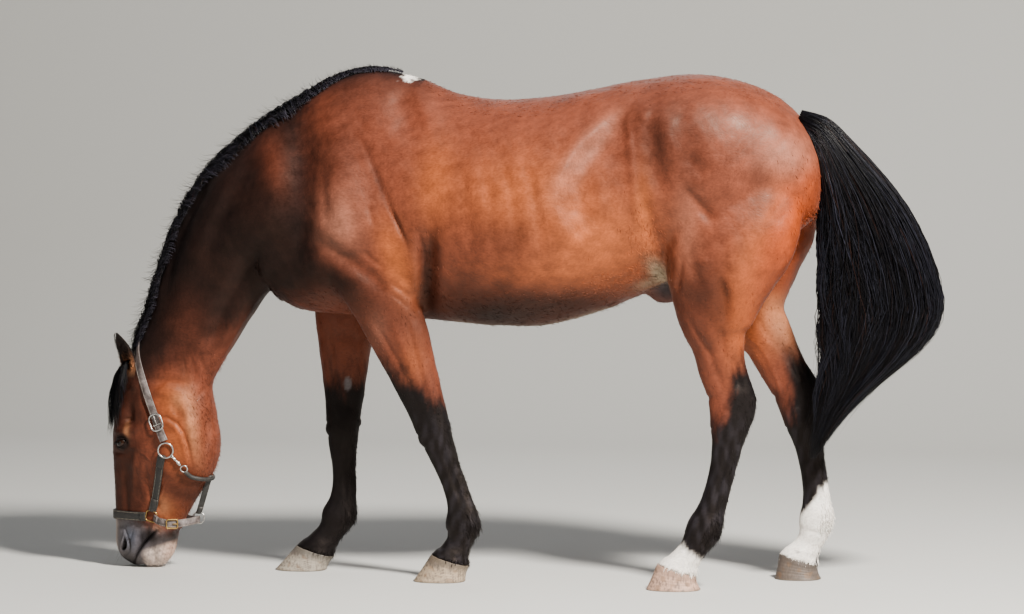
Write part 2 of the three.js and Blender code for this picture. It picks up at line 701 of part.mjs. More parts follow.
addTack("snap_ring", ring(SNAP_RING, snapRing), COLOURS.steel());
metalClearance = metalClearance.add(ring(SNAP_RING, snapRing, GAP));
const chinRing = { point: CHIN_RING.at, normal: vec(0, 1, 0) };
addTack("chin_ring", ring(CHIN_RING, chinRing), COLOURS.steel());
metalClearance = metalClearance.add(ring(CHIN_RING, chinRing, GAP));

const crown = wrap(CROWN.centre, LEFT, CROWN.up, CROWN.from, 180 - CROWN.from, 21);
const crownStrap = strap(crown, STRAP.width, STRAP.thick);
addTack("crown", crownStrap.subtract(metalClearance), COLOURS.wornLeather());
for (const [side, sign] of [["left", -1], ["right", 1]]) {
  const path = Array.from({ length: 6 }, (_, i) =>
    onCheek(CHEEK.top.map((v, k) => THREE.MathUtils.lerp(v, CHEEK.foot[k], i / 5)), sign),
  );
  const cheek = strap(path, STRAP.width, STRAP.thick).subtract(metalClearance);
  addTack(`cheek_${side}`, cheek, COLOURS.leather());
}
const nosePath = wrap(NOSEBAND.centre, LEFT, FRONT, NOSEBAND.from, 180 - NOSEBAND.from, 17);
const noseband = strap(nosePath, NOSEBAND.width, NOSEBAND.thick).subtract(metalClearance);
addTack("noseband", noseband, COLOURS.leather());

// chin strap, hanging clear of the jaw
const chinStart = onCheek(CHIN.through[0], -1);
const chinLeft = [
  chinStart.point.clone().addScaledVector(chinStart.normal, STRAP.lift),
  ...CHIN.through.slice(1),
];
const mirror = (p) => vec(p.x, -p.y, p.z);
const chinCurve = new THREE.CatmullRomCurve3([
  ...chinLeft,
  CHIN.middle,
  ...chinLeft.map(mirror).reverse(),
]);
const chinPath = chinCurve.getPoints(14).map((point, i) => {
  const normal = chinCurve.getTangent(i / 14).cross(UP).normalize();
  return { point, normal, across: UP };
});
const chinBuckleAt = {
  point: chinCurve.getPoint(CHIN_BUCKLE.along),
  normal: chinCurve.getTangent(CHIN_BUCKLE.along).cross(UP).normalize(),
};
const chinBuckleLift = STRAP.thick + 3.2;
addTack("chin_buckle", frame(CHIN_BUCKLE, chinBuckleAt, UP, chinBuckleLift), COLOURS.brass());
metalClearance = metalClearance.add(frame(CHIN_BUCKLE, chinBuckleAt, UP, chinBuckleLift, GAP));
const chinStrap = strap(chinPath, CHIN.width, STRAP.thick, 0);
addTack("chin_strap", chinStrap.subtract(metalClearance), COLOURS.wornLeather());

// throat strap with its snap, and the strap that joins it to the chin
const throatPath = [
  ...wrap(THROAT.centre, LEFT, THROAT.back, THROAT.from, 180 - THROAT.from, 9),
  onCheek([-640, 345], 1),
  onCheek([-657, 372], 1),
];
const throat = rod(throatPath, () => THROAT.radius, THROAT.radius + 0.8).subtract(metalClearance);
addTack("throat_strap", throat, COLOURS.leather());
const snapPath = [0, 0.22, 0.5, 0.78, 1].map((t) =>
  onCheek(SNAP.from.map((v, k) => THREE.MathUtils.lerp(v, SNAP.to[k], t)), -1),
);
const snapRadius = (i) => (i === 2 ? SNAP.radius : SNAP.eye);
addTack("snap", rod(snapPath, snapRadius, RING.lift).subtract(metalClearance), COLOURS.steel());
const throatClearance = rod(throatPath, () => THROAT.radius + GAP, THROAT.radius + 0.8);
const connectorPath = CONNECTOR.steps.map((t) => ({
  point: CONNECTOR.foot.clone().lerp(CONNECTOR.top, t),
  normal: vec(-0.6, 0.8, 0),
  across: CONNECTOR.across,
}));
const connector = sweep(connectorPath, (i) => {
  const half = CONNECTOR.halfThick[i];
  const w = CONNECTOR.width / 2;
  return [[-w, -half], [w, -half], [w, half], [-w, half]];
});
const connectorFree = connector.subtract(metalClearance).subtract(throatClearance);
addTack("connector", connectorFree, COLOURS.leather());

// ---------------------------------------------------------------- place
const box = new THREE.Box3().setFromObject(model);
const centre = box.getCenter(vec(0, 0, 0));
model.children.forEach((mesh) => mesh.geometry.translate(-centre.x, -centre.y, -box.min.z));
export default model;
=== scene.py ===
"""A life-size bay riding horse, grazing, in a leather halter.

Millimetres in the layout frame of the dimensions below, +Z up. The horse faces -X and its left
side faces -Y. to_scene() turns them into the metres of the CAD frame.
"""

from functools import cached_property

import bmesh
import bpy
import numpy as np
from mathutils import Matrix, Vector
from mathutils.bvhtree import BVHTree


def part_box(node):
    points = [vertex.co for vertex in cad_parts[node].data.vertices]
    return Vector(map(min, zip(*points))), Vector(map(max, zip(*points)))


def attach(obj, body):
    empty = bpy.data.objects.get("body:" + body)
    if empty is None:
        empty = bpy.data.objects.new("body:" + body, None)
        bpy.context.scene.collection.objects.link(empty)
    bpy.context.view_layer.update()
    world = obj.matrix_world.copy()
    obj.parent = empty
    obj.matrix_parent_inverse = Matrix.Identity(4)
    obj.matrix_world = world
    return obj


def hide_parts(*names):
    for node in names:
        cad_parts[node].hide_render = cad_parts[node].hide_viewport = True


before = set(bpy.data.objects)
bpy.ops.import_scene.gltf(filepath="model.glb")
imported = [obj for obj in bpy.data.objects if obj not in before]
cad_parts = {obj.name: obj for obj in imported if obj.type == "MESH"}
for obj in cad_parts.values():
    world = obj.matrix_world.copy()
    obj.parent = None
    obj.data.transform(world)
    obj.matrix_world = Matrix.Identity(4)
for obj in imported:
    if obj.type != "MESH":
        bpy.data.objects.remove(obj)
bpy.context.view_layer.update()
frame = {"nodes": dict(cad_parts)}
DEG = np.pi / 180
SIDES = ((-1, "left"), (1, "right"))

# ---------------------------------------------------------------- dimensions of the body
COAT_DEPTH = 3.5  # the skin lies this far inside the solids
HEAD_FROM = -505  # everything ahead of this is the head, before it is turned with the neck
NECK_BEND = {"start": -150, "run": 350, "angle": 10 * DEG}
TORSO_RIBS = [
    # top x, top z, under x, under z, half width, widest at, full above, full below
    [1411, 1300, 1411, 1215, 78, 0.5, 2.0, 2.0],  # point of the buttock
    [1394, 1368, 1394, 1160, 138, 0.5, 2.1, 2.0],
    [1340, 1466, 1340, 1105, 190, 0.45, 2.1, 2.0],  # root of the tail
    [1250, 1538, 1250, 1050, 222, 0.42, 2.1, 2.0],
    [1130, 1582, 1130, 1000, 258, 0.38, 2.2, 2.0],  # croup
    [990, 1598, 990, 955, 268, 0.34, 2.2, 2.0],  # point of the hip
    [860, 1582, 860, 908, 272, 0.42, 2.2, 2.0],  # flank
    [720, 1558, 720, 850, 295, 0.5, 2.2, 2.1],
    [560, 1527, 560, 806, 308, 0.54, 2.1, 2.2],  # belly
    [400, 1515, 400, 798, 298, 0.54, 1.95, 2.2],  # back
    [260, 1533, 260, 806, 268, 0.55, 1.75, 2.1],  # girth
    [130, 1584, 130, 816, 245, 0.57, 1.55, 2.1],
    [0, 1606, -10, 824, 235, 0.58, 1.5, 2.1],  # withers
    [-120, 1580, -135, 828, 222, 0.58, 1.55, 2.1],
    [-245, 1508, -240, 838, 192, 0.58, 1.6, 2.1],  # shoulder
    [-395, 1412, -305, 866, 155, 0.57, 1.65, 2.1],
    [-560, 1270, -348, 898, 122, 0.56, 1.7, 2.2],  # root of the neck
    [-668, 1105, -418, 812, 101, 0.55, 1.75, 2.2],
    [-728, 950, -482, 718, 89, 0.53, 1.8, 2.2],  # middle of the neck
    [-768, 815, -532, 640, 84, 0.5, 1.9, 2.3],  # throat
    [-808, 715, -554, 592, 90, 0.42, 2.2, 2.3],  # poll
    [-852, 625, -552, 540, 99, 0.38, 2.4, 2.4],
    [-878, 530, -539, 474, 104, 0.36, 2.6, 2.5],  # forehead
    [-889, 430, -531, 405, 106, 0.34, 2.7, 2.6],  # eyes and jowl
    [-892, 345, -543, 342, 99, 0.38, 2.6, 2.7],
    [-893, 270, -572, 283, 84, 0.42, 2.4, 2.6],  # facial crest
    [-893, 195, -616, 216, 70, 0.44, 2.3, 2.4],
    [-892, 125, -658, 140, 61, 0.44, 2.3, 2.3],  # bars of the mouth
    [-890, 72, -681, 78, 60, 0.42, 2.3, 2.3],  # nostrils
    [-876, 34, -694, 38, 54, 0.45, 2.2, 2.2],  # lips
    [-834, 5, -722, 7, 34, 0.5, 2.1, 2.1],
]
RELIEF = [
    # centre x, z, reach along and across its direction, direction from level, height
    [905, 1455, 70, 45, -35, 14],  # point of the hip
    [800, 1290, 60, 130, -8, -16],  # hollow of the flank
    [1110, 1190, 130, 170, 20, 14],  # thigh
    [1265, 1290, 50, 150, 12, -8],  # groove behind the thigh
    [-150, 1180, 70, 190, 24, 10],  # shoulder blade
    [15, 1290, 45, 190, 24, -13],  # groove behind the shoulder
    [-470, 1160, 160, 55, 60, 8],  # neck
    [-330, 1010, 170, 40, 58, -9],  # jugular groove
    [-640, 470, 62, 74, 20, 8],  # cheek
    [-600, 640, 30, 60, 30, -9],  # hollow of the throat
    [-818, 540, 26, 30, 60, -8],  # hollow of the temple
    [-828, 436, 30, 18, 0, 9],  # brow
    [-800, 290, 26, 60, 8, -7],  # hollow before the cheek
    [-845, 75, 26, 28, 0, 5],  # nostril
]
FORE_FLESH = [
    # joint and fraction to the next one, flesh in front, behind and to each side
    [0.0, 120, 150, 62],
    [0.45, 135, 150, 74],
    [0.8, 125, 118, 72],  # elbow
    [1.0, 115, 100, 66],
    [1.24, 103, 92, 58],  # forearm
    [1.5, 84, 78, 50],
    [1.78, 66, 66, 42],
    [1.92, 60, 60, 43],  # knee
    [2.03, 58, 56, 44],
    [2.15, 50, 52, 38],
    [2.35, 40, 48, 30],  # cannon
    [2.6, 36, 50, 27],
    [2.8, 42, 54, 30],
    [2.95, 54, 60, 36],  # fetlock
    [3.1, 56, 60, 37],
    [3.35, 48, 46, 33],  # pastern
    [3.6, 46, 46, 34],
    [3.85, 54, 56, 44],
    [4.0, 66, 64, 54],  # coronet
]
HIND_FLESH = [
    [0.0, 190, 185, 92],
    [0.3, 200, 218, 104],  # thigh
    [0.55, 195, 212, 104],
    [0.78, 180, 172, 98],  # stifle
    [1.0, 148, 140, 86],
    [1.3, 118, 114, 74],  # gaskin
    [1.65, 96, 92, 62],
    [2.0, 84, 80, 50],
    [2.35, 76, 78, 40],
    [2.65, 68, 86, 37],
    [2.85, 66, 84, 40],  # hock
    [3.05, 62, 66, 42],
    [3.2, 50, 56, 37],
    [3.4, 40, 50, 29],  # cannon
    [3.65, 38, 50, 28],
    [3.83, 44, 54, 31],
    [3.96, 54, 60, 37],  # fetlock
    [4.1, 56, 58, 38],
    [4.35, 48, 46, 34],  # pastern
    [4.6, 46, 46, 35],
    [4.85, 56, 56, 44],
    [5.0, 68, 62, 54],  # coronet
]
# Joints of each leg from the body down: x, z and distance from the midline.
LEGS = {
    "fore_left": {
        "side": -1,
        "joints": [[-60, 1130, 160], [70, 860, 148], [203, 468, 112], [288, 188, 105], [254, 66, 105]],
        "flesh": FORE_FLESH,
        "hoof": {"toe": 134, "heel": 300, "half": 70},
    },
    "fore_right": {
        "side": 1,
        "joints": [
            [-120, 1130, 160], [-130, 860, 146], [-138, 462, 108], [-150, 186, 98], [-226, 60, 95],
        ],
        "flesh": FORE_FLESH,
        "hoof": {"toe": -358, "heel": -192, "half": 70},
    },
    "hind_left": {
        "side": -1,
        "joints": [
            [1180, 1330, 148], [1105, 890, 156], [1112, 735, 150],
            [1142, 515, 142], [1066, 195, 165], [985, 60, 172],
        ],
        "flesh": HIND_FLESH,
        "hoof": {"toe": 886, "heel": 1058, "half": 68},
    },
    "hind_right": {
        "side": 1,
        "joints": [
            [1170, 1330, 148], [1160, 905, 146], [1240, 735, 140],
            [1334, 512, 135], [1376, 195, 150], [1325, 60, 155],
        ],
        "flesh": HIND_FLESH,
        "hoof": {"toe": 1246, "heel": 1394, "half": 66},
    },
}
CORONET_TILT = 16 * DEG
EYE = {"x": -828, "y": 88, "z": 406, "radius": 21}
EARS = {
    -1: {"root": (-817, -50, 607), "tip": (-848, -78, 760), "opens": (-0.55, -0.83, 0)},
    1: {"root": (-822, 50, 606), "tip": (-846, 112, 744), "opens": (-0.2, 0.95, 0.2)},
}
EAR_LEAF = [
    # down the ear: fraction, half width, depth of the cup, how open it is
    [0.0, 28, 27, 0],
    [0.2, 33, 26, 0.15],
    [0.35, 36, 23, 1],
    [0.55, 36, 19, 1],
    [0.75, 30, 14, 1],
    [0.9, 17, 9, 1],
    [1.0, 3, 4, 0.8],
]
EAR_WALL = 6
SHEATH = {"at": (918, 0, 926), "size": (62, 33, 50)}
TAIL = [
    # inner point, outer point (x, z) and half the thickness, from the dock down
    [1325, 1425, 1345, 1484, 36],
    [1374, 1385, 1428, 1458, 44],
    [1398, 1300, 1503, 1386, 52],
    [1396, 1200, 1600, 1282, 58],
    [1392, 1090, 1680, 1175, 61],
    [1390, 980, 1744, 1050, 62],
    [1388, 870, 1786, 912, 60],
    [1383, 780, 1774, 822, 57],
    [1388, 690, 1718, 742, 54],
    [1385, 600, 1636, 672, 48],
    [1380, 520, 1528, 580, 40],
    [1376, 450, 1450, 484, 28],
    [1374, 392, 1392, 398, 10],
]


# ---------------------------------------------------------------- curves and forms
def smooth_rows(rows, at):
    """A smooth curve through rows of numbers, at rising values of `at`."""
    rows, at = np.array(rows, float), np.array(at, float)
    order = np.arange(len(at))
    before, after = np.maximum(order - 1, 0), np.minimum(order + 1, len(at) - 1)
    slope = (rows[after] - rows[before]) / (at[after] - at[before])[:, None]

    def curve(t):
        t = np.atleast_1d(np.asarray(t, float))
        i = np.clip(np.searchsorted(at, t) - 1, 0, len(at) - 2)
        h = (at[i + 1] - at[i])[:, None]
        s = np.clip((t - at[i])[:, None] / h, 0, 1)
        share = s * s * (3 - 2 * s)
        ends = slope[i] * s * (1 - s) ** 2 * h + slope[i + 1] * s * s * (s - 1) * h
        return rows[i] * (1 - share) + rows[i + 1] * share + ends

    return curve


def smoothstep(low, high, value):
    s = np.clip((value - low) / (high - low), 0, 1)
    return s * s * (3 - 2 * s)


def circle(count):
    """Angles evenly round a circle."""
    return np.linspace(0, 2 * np.pi, count, endpoint=False)


def unit(v):
    return v / np.maximum(np.linalg.norm(v, axis=-1, keepdims=True), 1e-9)


def section_share(angle, widest, above, below):
    """A point of a section, as shares across and down, at an angle from the top."""
    s, c = np.sin(angle), np.cos(angle)
    full = np.where(c >= 0, above, below)
    depth = np.where(c >= 0, widest, 1 - widest)
    across = np.sign(s) * np.abs(s) ** (2 / full)
    return across, widest - depth * np.sign(c) * np.abs(c) ** (2 / full)


def bend(p):
    """Bends the neck and head to the horse's right, about an upright axis."""
    start, run, angle = NECK_BEND.values()
    ahead = np.maximum(start - p[..., 0], 0)
    curved = np.minimum(ahead, run)
    turn, radius = angle * curved / run, run / angle
    on = ahead - curved
    x = start - radius * np.sin(turn) - on * np.cos(angle) + p[..., 1] * np.sin(turn)
    y = radius * (1 - np.cos(turn)) + on * np.sin(angle) + p[..., 1] * np.cos(turn)
    bent = np.stack([x, y, p[..., 2]], -1)
    return np.where((ahead > 0)[..., None], bent, p)


def unbend(p):
    start, run, angle = NECK_BEND.values()
    radius = run / angle
    dx, dy = start - p[..., 0], radius - p[..., 1]
    turn = np.arctan2(dx, dy)
    on = np.cos(angle) * dx - np.sin(angle) * dy
    across = np.cos(angle) * dy + np.sin(angle) * dx
    x = np.where(turn > angle, start - run - on, start - turn * radius)
    y = np.where(turn > angle, radius - across, radius - np.hypot(dx, dy))
    straight = np.stack([x, y, p[..., 2]], -1)
    return np.where((turn > 0)[..., None], straight, p)


def relief(x, z):
    total = np.zeros_like(x)
    for cx, cz, along, across, tilt, height in RELIEF:
        c, s = np.cos(tilt * DEG), np.sin(tilt * DEG)
        u = ((x - cx) * c + (z - cz) * s) / along
        v = ((z - cz) * c - (x - cx) * s) / across
        total += height * np.exp(-(u * u + v * v) / 2)
    return total


def bell(value, middle, reach):
    return np.exp(-(((value - middle) / reach) ** 2))


_ribs = np.array(TORSO_RIBS, float)
_steps = np.hypot(*np.diff(_ribs[:, 0:2] + _ribs[:, 2:4], axis=0).T) / 2
RIB_PLACES = np.concatenate([[0], np.cumsum(_steps)])
rib_at = smooth_rows(TORSO_RIBS, RIB_PLACES)


def rib_place(n):
    """The place of a rib counted from the buttock, in millimetres along the torso."""
    return np.interp(n, np.arange(len(RIB_PLACES)), RIB_PLACES)


def torso_point(t, angle, out=0.0):
    """A point on the torso, or `out` off it, before the neck is bent."""
    t, angle, out = np.broadcast_arrays(*[np.asarray(v, float) for v in (t, angle, out)])
    rib = np.moveaxis(rib_at(t.ravel()).reshape(t.shape + (8,)), -1, 0)
    top_x, top_z, under_x, under_z, half, widest, above, below = rib
    depth = np.hypot(under_x - top_x, under_z - top_z)
    across, down = section_share(angle, widest, above, below)
    v = (down * (depth + 2 * out) - out) / depth
    x, z = top_x + (under_x - top_x) * v, top_z + (under_z - top_z) * v
    return np.stack([x, -across * (half + out + relief(x, z)), z], -1)


def leg_spine(leg):
    """The curve through a leg's joints, as x, z and distance from the midline, and its last station."""
    last = len(leg["joints"]) - 1
    return smooth_rows(leg["joints"], range(last + 1)), last


def leg_point(leg, t, angle, out=0.0):
    """A point on a leg at a station down it, at an angle from its front, towards the outside."""
    t, angle, out = np.broadcast_arrays(*[np.asarray(v, float) for v in (t, angle, out)])
    spine, last = leg_spine(leg)
    flesh = leg["flesh"]
    x, z, y = spine(t.ravel()).T.reshape((3,) + t.shape)
    flat = t.ravel()
    along = unit((spine(np.minimum(flat + 0.08, last)) - spine(np.maximum(flat - 0.08, 0)))[:, :2])
    share = smoothstep(last - 0.5, last, flat)[:, None]
    coronet = np.array([-np.sin(CORONET_TILT), -np.cos(CORONET_TILT)])
    along = unit(along * (1 - share) + coronet * share).T.reshape((2,) + t.shape)
    sizes = smooth_rows(flesh, [row[0] for row in flesh])(flat)
    _, front, back, half = sizes.T.reshape((4,) + t.shape)
    across, down = section_share(angle, 0.5, 2.15, 2.15)
    reach = np.where(down < 0.5, front + out, back + out) * (1 - 2 * down)
    y = leg["side"] * (y + across * (half + out))
    return np.stack([x + along[1] * reach, y, z - along[0] * reach], -1)


def loft(rings):
    """Corners and faces of a closed skin through rings of points, with a fan over each end."""
    count, sides = rings.shape[:2]
    i, j = np.meshgrid(np.arange(count - 1), np.arange(sides), indexing="ij")
    a, b = i * sides + j, i * sides + (j + 1) % sides
    quads = np.stack([a, a + sides, b + sides, b], -1).reshape(-1, 4)
    points = np.concatenate([rings.reshape(-1, 3), rings[[0, -1]].mean(1)])
    j = np.arange(sides)
    k = (j + 1) % sides
    top, end = count * sides, (count - 1) * sides
    fans = [np.stack([j, k, j * 0 + top], -1), np.stack([end + k, end + j, j * 0 + top + 1], -1)]
    tris = np.concatenate(fans)
    solid = np.concatenate([quads[:, :3], quads[:, [0, 2, 3]], tris])
    corners = points[solid]
    if np.einsum("ij,ij->", corners[:, 0], np.cross(corners[:, 1], corners[:, 2])) < 0:
        quads, tris = quads[:, ::-1], tris[:, ::-1]
    return points, [quads, tris]


def joined(parts):
    """Several (corners, faces) as one."""
    points, faces, start = [], [], 0
    for p, f in parts:
        points.append(p)
        faces += [g + start for g in f]
        start += len(p)
    return np.concatenate(points), faces


# ---------------------------------------------------------------- meshes
_low, _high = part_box("eye_left")
_eye = bend(np.array([[EYE["x"], -EYE["y"], EYE["z"]]], float))[0]
# The CAD model is centred on its own box, so it lies this far along X from the layout.
SHIFT = np.array([(_low.x + _high.x) * 500 - _eye[0], (_low.y + _high.y) * 500 - _eye[1], 0])


def to_scene(points):
    return (points + SHIFT) / 1000


def fill_mesh(mesh, points, faces):
    """Puts corners, in metres, and faces of three or four corners into a mesh."""
    loops = np.concatenate([f.ravel() for f in faces]).astype(np.int32)
    sizes = np.concatenate([np.full(len(f), f.shape[1]) for f in faces])
    starts = np.concatenate([[0], np.cumsum(sizes)[:-1]]).astype(np.int32)
    mesh.vertices.add(len(points))
    mesh.vertices.foreach_set("co", points.astype(np.float32).ravel())
    mesh.loops.add(len(loops))
    mesh.loops.foreach_set("vertex_index", loops)
    mesh.polygons.add(len(sizes))
    mesh.polygons.foreach_set("loop_start", starts)
    mesh.update(calc_edges=True)
    mesh.shade_smooth()


def linked(name, data):
    """A new object of some data, in the scene."""
    obj = bpy.data.objects.new(name, data)
    bpy.context.scene.collection.objects.link(obj)
    return obj


def make_object(name, points, faces):
    """An object of corners in layout millimetres."""
    mesh = bpy.data.meshes.new(name)
    fill_mesh(mesh, to_scene(points), faces)
    return linked(name, mesh)


def corners_of(mesh):
    co = np.empty(len(mesh.vertices) * 3)
    mesh.vertices.foreach_get("co", co)
    return co.reshape(-1, 3) * 1000 - SHIFT


def normals_of(mesh):
    no = np.empty(len(mesh.vertices) * 3)
    mesh.vertex_normals.foreach_get("vector", no)
    return no.reshape(-1, 3)


def set_corners(mesh, points):
    mesh.vertices.foreach_set("co", to_scene(points).astype(np.float32).ravel())
    mesh.update()


def edges_of(mesh):
    edges = np.empty(len(mesh.edges) * 2, np.int32)
    mesh.edges.foreach_get("vertices", edges)
    return edges.reshape(-1, 2).T


def relaxed(points, edges, weight, shares):
    """Moves each corner by shares of the way to the middle of its neighbours, one after another."""
    a, b = edges
    count = len(points)
    around = np.maximum(np.bincount(a, minlength=count) + np.bincount(b, minlength=count), 1)
    for share in shares:
        total = [
            np.bincount(a, points[b, k], count) + np.bincount(b, points[a, k], count) for k in range(3)
        ]
        points = points + weight[:, None] * share * (np.stack(total, 1) / around[:, None] - points)
    return points


def put_colour(mesh, colours):
    layer = mesh.attributes.new("coat", "FLOAT_COLOR", "POINT")
    rgba = np.ones((len(colours), 4), np.float32)
    rgba[:, :3] = colours
    layer.data.foreach_set("color", rgba.ravel())


# ---------------------------------------------------------------- skin
NECK_JOIN = [(-748, 882), (-507, 679)]  # where the finer skin of the head begins: top, under (x, z)
NECK_REAR = -400  # everything ahead of this is neck or head
BODY_VOXEL = 7.0
HEAD_VOXEL = 3.2
BODY_SPAN = (0, 19.6, 12, 150)  # first and last rib, step in millimetres, sides
HEAD_SPAN = (17.6, 30, 4, 220)
LEG_TOP_SHIFT = 34  # how far the top of each leg is pushed into the torso
FINE_PLACES = [  # centre (x, distance from the midline, z) and reach of the finest skin
    ((EYE["x"], EYE["y"], EYE["z"]), 44),
    ((-836, 50, 72), 44),  # nostril
    ((-775, 45, 70), 50),  # lips
]


def torso_form(first, last, step, sides):
    t = np.arange(rib_place(first), rib_place(last), step)[:, None]
    angle = circle(sides)[None]
    rings = torso_point(t, angle, -COAT_DEPTH)
    rings[0] += [-COAT_DEPTH, 0, 0]
    return loft(bend(rings))


def leg_form(leg):
    t = np.linspace(0, leg_spine(leg)[1], 130)[:, None]
    angle = circle(48)[None]
    rings = leg_point(leg, t, angle, -COAT_DEPTH)
    rings[..., 1] -= leg["side"] * LEG_TOP_SHIFT * (1 - smoothstep(0, 0.5, t))
    return loft(rings)


def ear_axes(ear):
    root, tip = np.array(ear["root"], float), np.array(ear["tip"], float)
    axis = tip - root
    across = unit(np.cross(np.array(ear["opens"], float), axis))
    return root, axis, across, unit(np.cross(axis, across))


def ear_curl(s):
    """How far the middle line of an ear stands off its axis: back in the middle, forward at the tip."""
    return 7 * smoothstep(0.45, 1, s) - 6 * np.sin(np.pi * s)


def ear_form(ear):
    """A leaf with a cup, curved a little towards its own opening at the tip."""
    root, axis, across, out = ear_axes(ear)
    s = np.linspace(0, 1, 40)
    _, wide, deep, opening = smooth_rows(EAR_LEAF, [row[0] for row in EAR_LEAF])(s).T[:, :, None]
    opening = np.clip(opening, 0, 1)
    back = np.linspace(-104, 104, 40) * DEG
    cup = np.linspace(66, -66, 26) * DEG
    wall = np.minimum(EAR_WALL, wide * 0.7)
    outer = np.stack([wide * np.sin(back), -deep * np.cos(back)], -1)
    depth = deep * 0.6 * (1 - opening) - np.maximum(deep - wall, 1) * opening
    inner = np.stack([(wide - wall * 0.8) * np.sin(cup) * 0.94, depth * np.cos(cup)], -1)
    uv = np.concatenate([outer, inner], 1)
    middle = root + s[:, None, None] * axis
    points = middle + uv[..., :1] * across + (uv[..., 1:] + ear_curl(s)[:, None, None]) * out
    return loft(bend(points))


def ball_form(at, size):
    t = np.linspace(0.02, np.pi - 0.02, 30)[:, None]
    a = circle(40)[None]
    ball = np.stack([np.cos(t) + 0 * a, np.sin(t) * np.cos(a), np.sin(t) * np.sin(a)], -1)
    return loft(ball * np.array(size, float) + np.array(at, float))


def remeshed(name, forms, voxel):
    obj = make_object(name, *joined(forms))
    modifier = obj.modifiers.new("remesh", "REMESH")
    modifier.mode = "VOXEL"
    modifier.voxel_size = voxel / 1000
    modifier.adaptivity = 0
    mesh = bpy.data.meshes.new_from_object(obj.evaluated_get(bpy.context.evaluated_depsgraph_get()))
    bpy.data.objects.remove(obj)
    return mesh


def cut_mesh(mesh, point, normal):
    """The part of a mesh behind a plane that crosses the neck."""
    bm = bmesh.new()
    bm.from_mesh(mesh)
    limit = (NECK_REAR + SHIFT[0]) / 1000
    verts = [v for v in bm.verts if v.co.x < limit]
    edges = [e for e in bm.edges if max(v.co.x for v in e.verts) < limit]
    faces = [f for f in bm.faces if max(v.co.x for v in f.verts) < limit]
    cut = {"plane_co": point, "plane_no": normal, "clear_outer": True, "dist": 1e-5}
    bmesh.ops.bisect_plane(bm, geom=verts + edges + faces, **cut)
    bmesh.ops.remove_doubles(bm, verts=[v for v in bm.verts if v.is_boundary], dist=6e-4)
    return bm


def zip_rims(bm, one, other, angle_of):
    """Fills the seam between two rims that lie on each other, with a band of triangles."""
    i = j = 0
    n, m = len(one), len(other)
    while i < n or j < m:
        a, b = one[i % n], other[j % m]
        next_one = angle_of(one[(i + 1) % n]) + 2 * np.pi * (i + 1 >= n)
        next_other = angle_of(other[(j + 1) % m]) + 2 * np.pi * (j + 1 >= m)
        if j >= m or (i < n and next_one < next_other):
            bm.faces.new([a, one[(i + 1) % n], b])
            i += 1
        else:
            bm.faces.new([a, other[(j + 1) % m], b])
            j += 1


def near(points, centre, reach):
    return np.linalg.norm(points - np.array(centre, float), axis=1) < reach


def make_skin():
    body = [torso_form(*BODY_SPAN)] + [leg_form(leg) for leg in LEGS.values()]
    body.append(ball_form(**SHEATH))
    head = [torso_form(*HEAD_SPAN)] + [ear_form(ear) for ear in EARS.values()]
    (top_x, top_z), (under_x, under_z) = NECK_JOIN
    ends = to_scene(bend(np.array([[top_x, 0, top_z], [under_x, 0, under_z]], float)))
    centre = Vector(ends.mean(0))
    first = Vector(ends[0] - ends[1]).normalized()
    turn = NECK_BEND["angle"]
    second = Vector((np.sin(turn), np.cos(turn), 0))
    to_head = first.cross(second)
    if to_head.x > 0:
        to_head.negate()
    whole = bmesh.new()
    rims = []
    for forms, voxel, normal in [(body, BODY_VOXEL, to_head), (head, HEAD_VOXEL, -to_head)]:
        part = cut_mesh(remeshed("form", forms, voxel), centre, normal)
        piece = bpy.data.meshes.new("part")
        part.to_mesh(piece)
        part.free()
        known = len(whole.verts)
        whole.from_mesh(piece)
        whole.verts.ensure_lookup_table()
        rims.append([v for v in whole.verts[known:] if v.is_boundary])

    def angle_of(v):
        return np.arctan2((v.co - centre) @ second, (v.co - centre) @ first)

    one, other = [sorted(rim, key=angle_of) for rim in rims]
    zip_rims(whole, one, other, angle_of)
    straight = unbend(np.array([v.co for v in whole.verts]) * 1000 - SHIFT)
    mirrored = np.abs(straight) * [-1, 1, 1]
    close = np.any([near(mirrored, centre, reach) for centre, reach in FINE_PLACES], 0)
    inside = [e for e in whole.edges if close[e.verts[0].index] and close[e.verts[1].index]]
    bmesh.ops.subdivide_edges(whole, edges=inside, cuts=1, use_grid_fill=True)
    bmesh.ops.triangulate(whole, faces=[f for f in whole.faces if len(f.verts) > 4])
    bmesh.ops.recalc_face_normals(whole, faces=whole.faces)
    mesh = bpy.data.meshes.new("skin")
    whole.to_mesh(mesh)
    whole.free()
    mesh.shade_smooth()
    return linked("skin", mesh)


